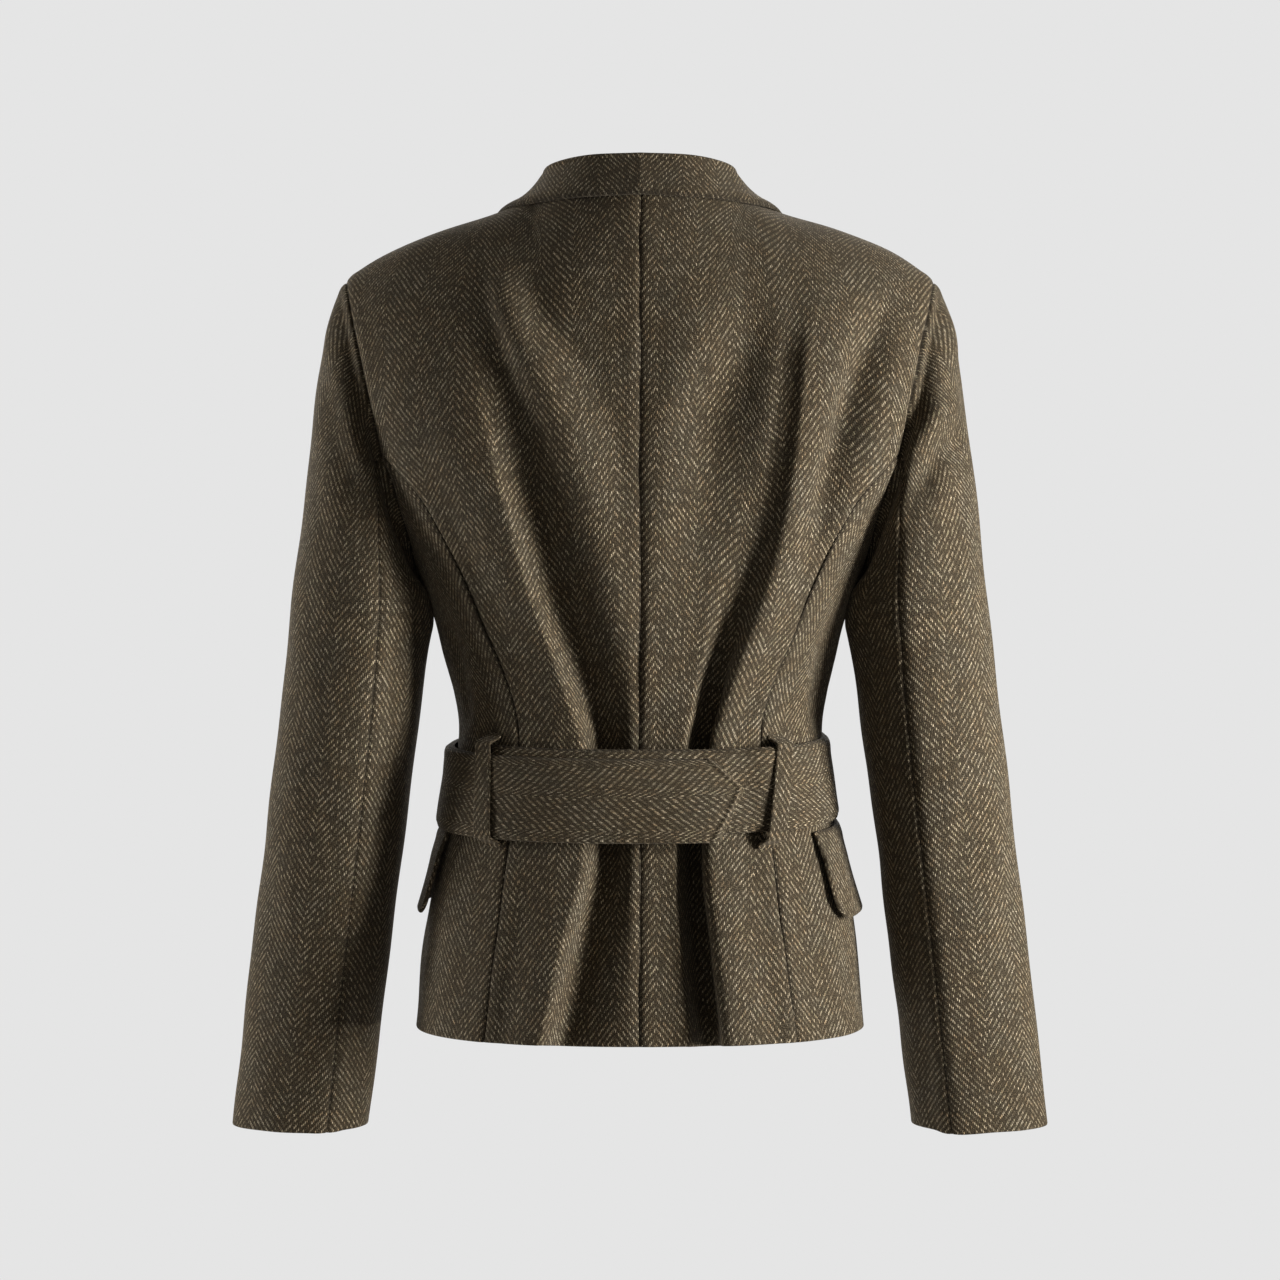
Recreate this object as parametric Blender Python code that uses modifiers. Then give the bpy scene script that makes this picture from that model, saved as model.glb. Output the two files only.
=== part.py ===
"""Belted blazer in herringbone tweed, standing open as if worn.

Every cut piece is its own wall of cloth: backs, sides, fronts, lapels, collar, two-piece
sleeves, belt, belt loops, pocket flaps and buttons.  Metres, +Z up, the front faces -Y and
the wearer's left is +X.  The origin is the middle of the neck, level with the points where
the shoulder seams meet the collar.
"""

import math

import bmesh
import bpy
import numpy as np
from mathutils import Vector

# Cloth and seams
WALL = 0.0020
SEAM_GAP = 0.0003
HALF_GAP = SEAM_GAP / 2
SEAM_STRIP = 0.10
EDGE_PULL = 4
RIDGE_PULL = 8
NUDGE = 5e-4
TWEED_COLOUR = (0.072, 0.056, 0.036)
TWEED_ROUGHNESS = 0.9
HORN_COLOUR = (0.045, 0.028, 0.016)
HORN_ROUGHNESS = 0.35

# Heights of the cut
HEM_Z = -0.577
CHEST_Z = -0.180
BREAK_Z = -0.330

# Neck and shoulder
NECK_HALF_WIDTH = 0.080
NECK_BACK_Y = 0.0665
NECK_ROOT_Z = 0.044
SHOULDER_HALF_WIDTH = 0.2056
SHOULDER_DROP = 0.056
SHOULDER_CROWN = 0.0077
NECK_SHARE = {"left": 0.44, "right": 0.28}
SHOULDER_ROUNDNESS = 2.0
CHEST_ROUNDNESS = 1.75
SHOULDER_HALF_GAP = 0.0004

# Armhole: an oval seen from the side, on a plane that leans in towards the underarm
ARMHOLE_TOP_Z = -SHOULDER_DROP
ARMHOLE_BOTTOM_Z = -0.262
ARMHOLE_LEAN = 0.225
ARMHOLE_MIDDLE_Z = (ARMHOLE_TOP_Z + ARMHOLE_BOTTOM_Z) / 2
ARMHOLE_HALF_HEIGHT = (ARMHOLE_TOP_Z - ARMHOLE_BOTTOM_Z) / 2

# Front closing
FRONT_LAP = 0.020
LAP_RISE = 0.0028
LAP_RAMP = 0.050
LAP_TURN = 0.5
CROSSING_Z = BREAK_Z * NECK_HALF_WIDTH / (NECK_HALF_WIDTH + FRONT_LAP)

# Belt
BELT_WIDTH = 0.060
BELT_THICK = 0.0042
BELT_MIDDLE_Z = -0.4035
BELT_TILT = 0.080
BELT_CLEARANCE = 0.0012
BELT_TIP_X = -0.063
BELT_TIP_LENGTH = 0.020
BELT_UNDER_END_X = -0.030
BELT_LAYER_GAP = 0.0012
BELT_LAP_FROM = math.radians(60)
BELT_LAP_RAMP = math.radians(45)

# Belt loops, pocket flaps and buttons
LOOP_WIDTH = 0.013
LOOP_THICK = 0.0024
LOOP_OVERHANG = 0.007
LOOP_FOOT = 0.001
LOOP_X = {"left": 0.103, "right": 0.087}
FLAP_TOP_GAP = 0.0008
FLAP_SEAT = 0.0008
FLAP_DEPTH = 0.058
FLAP_LENGTH = 0.140
FLAP_THICK = 0.003
FLAP_LIFT = 0.001
FLAP_CORNER = 0.014
FLAP_REAR_X = {"left": 0.134, "right": 0.122}
BUTTON_Z = (-0.3445, -0.475)
BUTTON_RADIUS = 0.0105
BUTTON_THICK = 0.0042
BUTTON_SEAT = 0.0007
BUTTON_STEPS = 24
BUTTON_WELD = 0.00005

SIDES = {"left": 1.0, "right": -1.0}

# Grid steps across and along the pieces
STEPS = {
    "trunk_below_chest": 20,
    "trunk_above_chest": 7,
    "back": 17,
    "side": 6,
    "front": 9,
    "lapel_across": 6,
    "lapel_up": 10,
    "cap": 7,
    "sleeve": 6,
    "upper_sleeve": 14,
    "under_sleeve": 6,
    "loop": 14,
    "flap_along": 12,
    "flap_down": 4,
    "collar_along": 26,
    "stand": 2,
    "collar_fold": 4,
    "fall": 3,
    "belt_along": 66,
    "belt_across": 2,
}


def table(names, *rows):
    """A short table with named columns."""
    return np.array([tuple(row) for row in rows], dtype=[(name, float) for name in names])


# The trunk: one row for each level, from the hem to the chest
SECTIONS = table(
    ("z", "half_width", "back", "front", "squareness"),
    (-0.577, 0.1570, 0.128, 0.122, 2.3),
    (-0.520, 0.1525, 0.124, 0.118, 2.3),
    (-0.450, 0.1390, 0.110, 0.108, 2.3),
    (-0.400, 0.1300, 0.098, 0.100, 2.3),
    (-0.364, 0.1268, 0.096, 0.100, 2.3),
    (-0.322, 0.1350, 0.101, 0.107, 2.35),
    (-0.270, 0.1520, 0.110, 0.119, 2.4),
    (-0.232, 0.1660, 0.114, 0.124, 2.6),
    (-0.180, 0.1850, 0.116, 0.122, 3.0),
)


def armhole_x(z):
    """Half width of the plane that the armhole lies in."""
    return SHOULDER_HALF_WIDTH + ARMHOLE_LEAN * (z - ARMHOLE_TOP_Z)


# Where the seams of the side panel run: half widths on the back and on the front
SIDE_SEAMS = table(
    ("z", "back_x", "front_x"),
    (-0.577, 0.106, 0.126),
    (-0.447, 0.090, 0.112),
    (-0.372, 0.083, 0.104),
    (-0.295, 0.109, 0.116),
    (-0.263, 0.123, 0.126),
    (-0.214, 0.149, 0.150),
    (CHEST_Z, armhole_x(CHEST_Z), armhole_x(CHEST_Z)),
)

# The folds that the belt gathers beside the centre back seam
FOLD_COLUMNS = ("z", "valley_x", "ridge_x", "valley_depth", "centre_depth", "ridge_rise")
FOLDS = {
    "left": table(
        FOLD_COLUMNS,
        (-0.577, 0.036, 0.0525, 0.021, 0.010, 0.003),
        (-0.509, 0.026, 0.0410, 0.021, 0.009, 0.002),
        (-0.449, 0.018, 0.0300, 0.020, 0.008, 0.000),
        (-0.378, 0.017, 0.0290, 0.020, 0.008, 0.000),
        (-0.341, 0.026, 0.0430, 0.017, 0.006, 0.002),
        (-0.282, 0.040, 0.0632, 0.012, 0.003, 0.003),
        (-0.228, 0.050, 0.0827, 0.009, 0.001, 0.003),
        (-0.172, 0.067, 0.1000, 0.006, 0.001, 0.002),
        (-0.070, 0.083, 0.1140, 0.000, 0.000, 0.000),
    ),
    "right": table(
        FOLD_COLUMNS,
        (-0.577, 0.042, 0.0572, 0.021, 0.010, 0.003),
        (-0.509, 0.037, 0.0504, 0.021, 0.009, 0.002),
        (-0.449, 0.034, 0.0460, 0.020, 0.008, 0.000),
        (-0.378, 0.038, 0.0500, 0.020, 0.008, 0.000),
        (-0.341, 0.053, 0.0640, 0.018, 0.006, 0.002),
        (-0.282, 0.070, 0.0855, 0.013, 0.003, 0.003),
        (-0.228, 0.085, 0.1080, 0.010, 0.001, 0.003),
        (-0.172, 0.100, 0.1220, 0.006, 0.001, 0.002),
        (-0.070, 0.105, 0.1300, 0.000, 0.000, 0.000),
    ),
}

# A button's turned half profile, as shares of its radius and its thickness
BUTTON_PROFILE = table(
    ("radius", "height"),
    (0.00, 0.62),
    (0.61, 0.62),
    (0.72, 1.00),
    (0.92, 1.00),
    (1.00, 0.60),
    (0.90, 0.00),
    (0.00, 0.00),
)

# The sleeve below its cap: level rings that hang a little outwards and forwards
SLEEVE_RINGS = table(
    ("z", "centre_x", "centre_y", "half_width", "half_depth", "twist"),
    (-0.650, 0.2410, -0.030, 0.0482, 0.0420, -0.14),
    (-0.535, 0.2255, -0.012, 0.0487, 0.0470, -0.10),
    (-0.420, 0.2105, -0.003, 0.0487, 0.0520, -0.065),
    (-0.340, 0.2007, 0.000, 0.0492, 0.0550, -0.02),
    (-0.300, 0.1960, 0.000, 0.0493, 0.0570, 0.02),
)
CAP_END_Z = -0.300
CUFF_Z = -0.650
CAP_GAP = 0.0006
CAP_EDGE_ROW = 0.02
CAP_END_STEP = 0.02
CAP_REACH = {"top": 0.063, "side": 0.030, "underarm": 0.022}
CAP_OUT = {"top": 0.92, "underarm": 0.86}
CAP_RISE = {"top": -0.40, "side": -0.10, "underarm": 0.50}
CAP_TUCK = 0.25

# The collar, from the centre back (0) over the shoulder seam to its front end (1): the fold on
# top, the free edge, how far the fall bows out between them, and how far inside and above the
# neck's edge the stand starts
COLLAR_GUIDES = table(
    ("u", "fold_x", "fold_y", "fold_z", "edge_x", "edge_y", "edge_z", "bow", "inset", "rise"),
    (0.00, 0.0000, 0.0530, 0.0238, 0.0000, 0.0785, -0.0040, 0.0010, 0.0022, -0.0004),
    (0.20, 0.0290, 0.0485, 0.0235, 0.0360, 0.0715, -0.0045, 0.0005, 0.0022, -0.0004),
    (0.40, 0.0510, 0.0330, 0.0225, 0.0680, 0.0490, -0.0045, -0.0005, 0.0036, 0.0003),
    (0.60, 0.0645, 0.0060, 0.0205, 0.0950, 0.0080, -0.0025, -0.0025, 0.0036, 0.0003),
    (0.80, 0.0670, -0.0280, 0.0060, 0.1060, -0.0400, -0.0140, -0.0010, 0.0036, 0.0003),
    (1.00, 0.0650, -0.0720, -0.0340, 0.1090, -0.0850, -0.0580, 0.0010, 0.0066, 0.0003),
)
COLLAR_SHOULDER_SHARE = 0.60
COLLAR_FOLD_RADIUS = 0.0036
STAND_SHARE = 0.36

# The lapel on the front: the roll line, the notch and the point
GORGE_Z = -0.0420
NOTCH_XZ = (0.097, -0.0590)
LAPEL_POINT_XZ = (0.130, -0.0800)
NOTCH_SHARE = 0.55
GORGE_PULL = 6
LAPEL_BELLY = 0.010
LAPEL_LIFT = 0.0010
LAPEL_TURN = 0.0010
LAPEL_END_WIDTH = 0.004
LAPEL_ROLL = 0.0040
LAPEL_ROLL_SHARE = 0.20
LEFT_LAPEL_START_Z = -0.280


def smooth(x, knots, values):
    """Cubic through table rows with no overshoot between them, held flat past both ends."""
    x = np.clip(x, knots[0], knots[-1])
    step = np.diff(knots)
    slope = np.diff(values) / step
    tangent = np.concatenate([slope[:1], np.zeros(len(slope) - 1), slope[-1:]])
    rising = slope[:-1] * slope[1:] > 0
    near, far = 2 * step[1:] + step[:-1], step[1:] + 2 * step[:-1]
    before, after = np.where(rising, slope[:-1], 1.0), np.where(rising, slope[1:], 1.0)
    tangent[1:-1] = np.where(rising, (near + far) / (near / before + far / after), 0.0)
    i = np.clip(np.searchsorted(knots, x, side="right") - 1, 0, len(knots) - 2)
    t = (x - knots[i]) / step[i]
    rise = t * t * (3 - 2 * t)
    start, end = t * (1 - t) ** 2, t * t * (t - 1)
    return (
        values[i] * (1 - rise)
        + values[i + 1] * rise
        + step[i] * (tangent[i] * start + tangent[i + 1] * end)
    )


def read(rows, column, at, key="z"):
    """One column of a table, read smoothly at any level."""
    return smooth(np.asarray(at, float), rows[key], rows[column])


def ease(t):
    """Runs from 0 to 1 with level ends."""
    t = np.clip(t, 0.0, 1.0)
    return t * t * (3 - 2 * t)


def mix(a, b, t):
    return a + (b - a) * t


def stack(x, y, z):
    """Three arrays of coordinates as rows of points."""
    return np.stack(np.broadcast_arrays(x, y, z), axis=-1)


def unit(vectors):
    """Rows of vectors brought to length 1."""
    return vectors / np.linalg.norm(vectors, axis=1, keepdims=True)


def level_out(points):
    """The level way out from the body's middle line at each point."""
    return unit(points * (1.0, 1.0, 0.0))


# The trunk's surface


def oval_depth(x, half_width, depth, squareness):
    """How far a superellipse stands out at half width x."""
    share = np.clip(np.abs(x) / half_width, 0.0, 1.0)
    return depth * (1 - share**squareness) ** (1 / squareness)


def trunk_y(x, z, face):
    """The trunk's depth on its back (+) or front (-) at half width x and height z."""
    half_width, squareness = read(SECTIONS, "half_width", z), read(SECTIONS, "squareness", z)
    sign = 1.0 if face == "back" else -1.0
    return sign * oval_depth(x, half_width, read(SECTIONS, face, z), squareness)


def trunk_ring(angle, z):
    """The trunk at an angle from the centre back (0) round the side to the centre front (pi)."""
    half_width, n = read(SECTIONS, "half_width", z), read(SECTIONS, "squareness", z)
    depth = np.where(np.cos(angle) >= 0, read(SECTIONS, "back", z), read(SECTIONS, "front", z))
    reach = (np.abs(np.sin(angle) / half_width) ** n + np.abs(np.cos(angle) / depth) ** n) ** (-1 / n)
    return stack(reach * np.sin(angle), reach * np.cos(angle), z)


def fold_depth(x, z, side):
    """How far the gathered back lies inside the trunk's outline."""
    rows = FOLDS[side]
    valley, ridge = read(rows, "valley_x", z), read(rows, "ridge_x", z)
    deep, centre = read(rows, "valley_depth", z), read(rows, "centre_depth", z)
    inner = mix(centre, deep, ease(x / valley))
    outer = deep * (1 - ease((x - valley) / (ridge - valley)))
    crest = read(rows, "ridge_rise", z) * ease(1 - np.abs(x - ridge) / (ridge - valley))
    return np.where(x < valley, inner, outer) - crest


# The armhole, as an angle from the shoulder tip (0) down the back to the underarm (pi) and up
# the front


ARMHOLE_SEAM_ANGLE = math.acos((CHEST_Z - ARMHOLE_MIDDLE_Z) / ARMHOLE_HALF_HEIGHT)
ARMHOLE_REACH = {
    face: abs(float(trunk_y(armhole_x(CHEST_Z), CHEST_Z, face))) / math.sin(ARMHOLE_SEAM_ANGLE)
    for face in ("back", "front")
}


def armhole(angle):
    """The edge of the armhole on the trunk's surface."""
    z = ARMHOLE_MIDDLE_Z + ARMHOLE_HALF_HEIGHT * np.cos(angle)
    on_back = np.sin(angle) >= 0
    y = np.sin(angle) * np.where(on_back, ARMHOLE_REACH["back"], ARMHOLE_REACH["front"])
    depth = np.where(on_back, read(SECTIONS, "back", z), read(SECTIONS, "front", z))
    ring_x = oval_depth(y, depth, read(SECTIONS, "half_width", z), read(SECTIONS, "squareness", z))
    return stack(np.where(z > CHEST_Z, armhole_x(z), ring_x), y, z)


def shoulder_seam(share):
    """The shoulder seam from the neck (0) to the tip (1), crowned most at two thirds."""
    x = mix(NECK_HALF_WIDTH, SHOULDER_HALF_WIDTH, share)
    z = -SHOULDER_DROP * share + SHOULDER_CROWN * 27 / 4 * share**2 * (1 - share)
    return stack(x, np.zeros_like(x), z)


def ridge_z(x):
    """The shoulder seam's height at half width x, carried on over the neck hole to the centre."""
    t = np.clip(x / NECK_HALF_WIDTH, 0, 1)
    slope = -SHOULDER_DROP / (SHOULDER_HALF_WIDTH - NECK_HALF_WIDTH)
    over_neck = NECK_ROOT_Z * (1 - ease(t)) + slope * NECK_HALF_WIDTH * t * t * (t - 1)
    share = (x - NECK_HALF_WIDTH) / (SHOULDER_HALF_WIDTH - NECK_HALF_WIDTH)
    return np.where(x < NECK_HALF_WIDTH, over_neck, shoulder_seam(share)[:, 2])


def over_shoulder(x, turn, face, roundness):
    """The trunk above the chest at half width x: a quarter arc from the chest up to the ridge.

    The arc is round at a roundness of 2 and flatter below it.
    """
    z = mix(CHEST_Z, ridge_z(x), np.sin(turn) ** (2 / roundness))
    chest_x = x * armhole_x(CHEST_Z) / armhole_x(z)
    left = np.clip(np.cos(turn), 0, 1) ** (2 / roundness)
    return stack(x, trunk_y(chest_x, CHEST_Z, face) * left, z)


def to_armhole(points, plain_edge, angle, s):
    """Moves a panel's side edge onto the armhole, less and less across the panel."""
    return points + (s**EDGE_PULL)[:, None] * (armhole(angle) - plain_edge)


# The back panel

FOLD_SHARES = (0.0, 0.34, 0.60, 1.0)


def back_x(s, z, side):
    """Half width across the back panel, with its columns gathered on the fold."""
    seam = read(SIDE_SEAMS, "back_x", z) - HALF_GAP
    knots = (0 * z, read(FOLDS[side], "valley_x", z), read(FOLDS[side], "ridge_x", z), seam)
    x = HALF_GAP + 0 * s
    for i in range(3):
        share = np.clip((s - FOLD_SHARES[i]) / (FOLD_SHARES[i + 1] - FOLD_SHARES[i]), 0, 1)
        x = x + (knots[i + 1] - knots[i] - (HALF_GAP if i == 0 else 0)) * share
    return x


def back_panel(side):
    """The back panel for s from the centre seam to the side, and v from the hem (0) over the
    chest (1) to the neck and shoulder (2)."""

    neck_share = NECK_SHARE[side]

    def top_x(s):
        over_neck = NECK_HALF_WIDTH * np.sin(np.clip(s / neck_share, 0, 1) * math.pi / 2)
        on_shoulder = shoulder_seam(np.clip((s - neck_share) / (1 - neck_share), 0, 1))[:, 0]
        return np.where(s < neck_share, over_neck, on_shoulder)

    def upper(s, t):
        x = np.maximum(mix(back_x(s, CHEST_Z + 0 * s, side), top_x(s), t), HALF_GAP)
        neck_y = NECK_BACK_Y * np.sqrt(1 - np.clip(top_x(s) / NECK_HALF_WIDTH, 0, 1) ** 2)
        at_neck = over_shoulder(top_x(s), 0 * s, "back", SHOULDER_ROUNDNESS)[:, 1]
        reach = np.arccos(np.clip(neck_y / np.maximum(at_neck, neck_y + WALL), 0, 1))
        return over_shoulder(x, t * reach, "back", SHOULDER_ROUNDNESS)

    def surface(s, v):
        low_z = mix(HEM_Z, CHEST_Z, np.clip(v, 0, 1))
        x = back_x(s, low_z, side)
        low = stack(x, trunk_y(x, low_z, "back"), low_z)
        t = np.clip(v - 1, 0, 1)
        high = to_armhole(upper(s, t), upper(1 + 0 * s, t), ARMHOLE_SEAM_ANGLE * (1 - t), s)
        high[:, 1] += SHOULDER_HALF_GAP * t**RIDGE_PULL
        points = np.where((v <= 1)[:, None], low, high)
        points[:, 1] -= fold_depth(points[:, 0], points[:, 2], side)
        return points

    return surface


def side_panel(c, r):
    """The side panel for c from the back seam to the front seam and r from the hem to the armhole."""
    top_angle = mix(ARMHOLE_SEAM_ANGLE, 2 * math.pi - ARMHOLE_SEAM_ANGLE, c)
    top = armhole(top_angle)
    z = mix(HEM_Z, top[:, 2], r)

    def seams(level):
        back_edge = read(SIDE_SEAMS, "back_x", level) + HALF_GAP
        front_edge = read(SIDE_SEAMS, "front_x", level) + HALF_GAP
        start = np.arctan2(back_edge, trunk_y(back_edge, level, "back"))
        end = np.arctan2(front_edge, trunk_y(front_edge, level, "front"))
        return mix(start, end, c)

    lean_in = np.arctan2(top[:, 0], top[:, 1]) - seams(top[:, 2])
    return trunk_ring(seams(z) + lean_in * r**EDGE_PULL * np.where((c > 0) & (c < 1), 1, 0), z)


# The front panel


def roll_x(z):
    """The lapel's roll line seen from the front: straight from the closing to the neck."""
    return mix(-FRONT_LAP, NECK_HALF_WIDTH, (z - BREAK_Z) / -BREAK_Z)


def inner_x(z):
    return np.where(z < BREAK_Z, -FRONT_LAP, roll_x(z))


def chest_roundness(s):
    """The front leans back flatter beside the neck than at the armhole."""
    return mix(CHEST_ROUNDNESS, SHOULDER_ROUNDNESS, ease(s))


def front_panel(s, v):
    """The front panel for s from its edge and roll line to the side, and v as on the back."""

    def upper(share, t):
        turn = t * math.pi / 2
        roundness = chest_roundness(share)
        x = mix(roll_x(CHEST_Z), armhole_x(CHEST_Z), share)
        for _ in range(4):
            z = mix(CHEST_Z, ridge_z(x), np.sin(turn) ** (2 / roundness))
            x = mix(roll_x(z), armhole_x(z), share)
        return over_shoulder(x, turn, "front", roundness)

    low_z = mix(HEM_Z, CHEST_Z, np.clip(v, 0, 1))
    x = mix(inner_x(low_z), read(SIDE_SEAMS, "front_x", low_z) - HALF_GAP, s)
    low = stack(x, trunk_y(x, low_z, "front"), low_z)
    t = np.clip(v - 1, 0, 1)
    angle = 2 * math.pi - ARMHOLE_SEAM_ANGLE * (1 - t)
    high = to_armhole(upper(s, t), upper(1 + 0 * s, t), angle, s)
    high[:, 1] -= SHOULDER_HALF_GAP * t**RIDGE_PULL
    return np.where((v <= 1)[:, None], low, high)


def front_y(x, z):
    """The front's depth at half width x and height z, apart from the pull of the armhole."""
    share = (x - roll_x(z)) / (armhole_x(z) - roll_x(z))
    roundness = chest_roundness(share)
    up = np.clip((z - CHEST_Z) / (ridge_z(x) - CHEST_Z), 0, 1)
    turn = np.arcsin(up ** (roundness / 2))
    upper = over_shoulder(x, turn, "front", roundness)[:, 1]
    return np.where(z < CHEST_Z, trunk_y(x, z, "front"), upper)


def front_normal(x, z):
    """The way out of the front at half width x and height z."""
    by_x = (front_y(x + NUDGE, z) - front_y(x - NUDGE, z)) / (2 * NUDGE)
    by_z = (front_y(x, z + NUDGE) - front_y(x, z - NUDGE)) / (2 * NUDGE)
    return unit(stack(by_x, -np.ones_like(by_x), by_z))


def lap_rise(x, z, side):
    """How far the right front stands out where it laps over the left one."""
    if side == "left":
        return 0 * x
    across = ease((FRONT_LAP + LAP_RAMP - x) / LAP_RAMP)
    return LAP_RISE * across * ease((CROSSING_Z + LAP_RAMP - z) / LAP_RAMP)


def front_lap(side):
    """The front with its button edge."""

    def surface(s, v):
        points = front_panel(s, v)
        points[:, 1] -= lap_rise(points[:, 0], points[:, 2], side)
        return points

    return surface


def lapel(side):
    """The lapel for a from the roll line to its free edge and b from the break to the gorge."""
    start_z = BREAK_Z if side == "right" else LEFT_LAPEL_START_Z

    def outline(a, b):
        roll_z = mix(start_z, GORGE_Z, b)
        edge_z = mix(start_z, LAPEL_POINT_XZ[1], b)
        share = (edge_z - BREAK_Z) / (LAPEL_POINT_XZ[1] - BREAK_Z)
        edge_x = mix(-FRONT_LAP, LAPEL_POINT_XZ[0], share) + LAPEL_BELLY * np.sin(math.pi * share)
        start_x = roll_x(roll_z) + LAPEL_TURN
        if side == "left":
            start_x = np.maximum(start_x, LAPEL_TURN - roll_x(roll_z))
        roll = np.stack([start_x, roll_z])
        free = np.stack([np.maximum(edge_x, start_x + LAPEL_END_WIDTH), edge_z])
        notch = np.array(NOTCH_XZ)[:, None]
        bent = np.where(
            a < NOTCH_SHARE,
            mix(roll, notch, a / NOTCH_SHARE),
            mix(notch, free, (a - NOTCH_SHARE) / (1 - NOTCH_SHARE)),
        )
        return mix(mix(roll, free, a), bent, b**GORGE_PULL)

    def surface(a, b):
        x, z = outline(a, b)
        roll = LAPEL_ROLL * b * a / LAPEL_ROLL_SHARE * np.exp(1 - a / LAPEL_ROLL_SHARE)
        lift = WALL + LAPEL_LIFT + lap_rise(x, z, side) + roll
        on_front = stack(x, front_y(x, z), z)
        return on_front + front_normal(x, z) * lift[:, None]

    return surface


# The collar


def neck_line(u):
    """The neck's edge, from the centre back over the shoulder seam down to the lapel."""
    to_seam = np.clip(u / COLLAR_SHOULDER_SHARE, 0, 1)
    on_back = back_panel("left")(NECK_SHARE["left"] * to_seam, 2 + 0 * u)
    gorge_turn = math.asin((1 - GORGE_Z / CHEST_Z) ** (CHEST_ROUNDNESS / 2)) / (math.pi / 2)
    share = np.clip((u - COLLAR_SHOULDER_SHARE) / (1 - COLLAR_SHOULDER_SHARE), 0, 1)
    on_front = front_panel(0 * u, 1 + mix(1, gorge_turn, share))
    return np.where((u < COLLAR_SHOULDER_SHARE)[:, None], on_back, on_front)


def collar(u, w):
    """The collar for u from one front end (-1) to the other (1) and w from the neck seam (0)
    over the fold (0.5) to the free edge (1)."""
    along, mirror = np.abs(u), np.where(u < 0, -1.0, 1.0)

    def guide(name):
        x, y, z = (read(COLLAR_GUIDES, f"{name}_{axis}", along, "u") for axis in "xyz")
        return stack(x, y, z)

    up = np.array([0.0, 0.0, 1.0])
    neck, fold, edge = neck_line(along), guide("fold"), guide("edge")
    inward = unit(stack(-neck[:, 0], np.minimum(-neck[:, 1], 0), 0))
    neck = neck + inward * read(COLLAR_GUIDES, "inset", along, "u")[:, None]
    neck = neck + up * read(COLLAR_GUIDES, "rise", along, "u")[:, None]
    out = level_out(edge - neck)
    turn = math.pi * (1 - np.clip((w - STAND_SHARE) / (1 - 2 * STAND_SHARE), 0, 1))
    round_fold = fold + COLLAR_FOLD_RADIUS * (out * np.cos(turn)[:, None] + up * np.sin(turn)[:, None])
    stand = mix(neck, fold - COLLAR_FOLD_RADIUS * out, np.clip(w / STAND_SHARE, 0, 1)[:, None])
    drop = np.clip((w - 1 + STAND_SHARE) / STAND_SHARE, 0, 1)
    fall = mix(fold + COLLAR_FOLD_RADIUS * out, edge, drop[:, None])
    bow = read(COLLAR_GUIDES, "bow", along, "u") * np.sin(math.pi * drop)
    fall = fall + bow[:, None] * (out + up) / math.sqrt(2)
    points = np.where((w < STAND_SHARE)[:, None], stand, round_fold)
    points = np.where((w > 1 - STAND_SHARE)[:, None], fall, points)
    return points * stack(mirror, 1.0, 1.0)


# The sleeve


def cap_start(angle):
    """How the sleeve leaves the armhole: outwards, and at the underarm up and over the seam."""
    down = (1 - np.cos(angle)) / 2
    sideways = np.abs(np.sin(angle))
    out = mix(CAP_OUT["top"], CAP_OUT["underarm"], down)
    rise = mix(mix(CAP_RISE["top"], CAP_RISE["underarm"], down), CAP_RISE["side"], sideways)
    reach = mix(mix(CAP_REACH["top"], CAP_REACH["underarm"], down), CAP_REACH["side"], sideways)
    return unit(stack(out, -CAP_TUCK * np.sin(angle), rise)), reach


def sleeve_ring(angle, z):
    """The sleeve's level ring at height z."""
    turned = angle - read(SLEEVE_RINGS, "twist", z) * np.sin(angle)
    x = read(SLEEVE_RINGS, "centre_x", z) + read(SLEEVE_RINGS, "half_width", z) * np.cos(turned)
    y = read(SLEEVE_RINGS, "centre_y", z) + read(SLEEVE_RINGS, "half_depth", z) * np.sin(turned)
    return stack(x, y, z)


def sleeve(angle, v):
    """The sleeve for an angle round it and v from the armhole (0) over the cap's end (1) to the
    cuff (2)."""
    heading, reach = cap_start(angle)
    start = armhole(angle) + CAP_GAP * heading
    ring = sleeve_ring(angle, CAP_END_Z + 0 * angle)
    down = unit(sleeve_ring(angle, CAP_END_Z - CAP_END_STEP + 0 * angle) - ring)
    length = np.linalg.norm(ring - start, axis=1, keepdims=True)
    t = np.clip(v, 0, 1)[:, None]
    cap = mix(start, ring, ease(t))
    cap = cap + t * (1 - t) ** 2 * heading * reach[:, None] + t * t * (t - 1) * down * length
    low = sleeve_ring(angle, mix(CAP_END_Z, CUFF_Z, np.clip(v - 1, 0, 1)))
    return np.where((v <= 1)[:, None], cap, low)


def sleeve_piece(start, end):
    """A strip of the sleeve between two of its seams, each held back by half a seam gap."""

    def surface(c, v):
        points = sleeve(mix(start, end, c), v)
        ahead = unit(sleeve(mix(start, end, c) + NUDGE, v) - points)
        held_back = np.where(c == 0, HALF_GAP, 0) - np.where(c == 1, HALF_GAP, 0)
        return points + ahead * held_back[:, None]

    return surface


# Belt, loops and flaps


def belt_line_z(y):
    """The belt dips at the back."""
    return BELT_MIDDLE_Z - BELT_TILT * y


def belt_side(angle, height, out):
    """A point on the belt's path, out metres off the trunk, height metres above its middle.

    The belt is stiff, so it runs straight from the trunk at its upper edge to the lower one.
    """
    middle = trunk_ring(angle, BELT_MIDDLE_Z + 0 * angle)
    level = belt_line_z(middle[:, 1])
    upper = trunk_ring(angle, level + BELT_WIDTH / 2)
    lower = trunk_ring(angle, level - BELT_WIDTH / 2)
    point = mix(lower, upper, (height / BELT_WIDTH + 0.5)[:, None])
    return point + level_out(point) * (out * np.ones_like(angle))[:, None]


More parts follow.
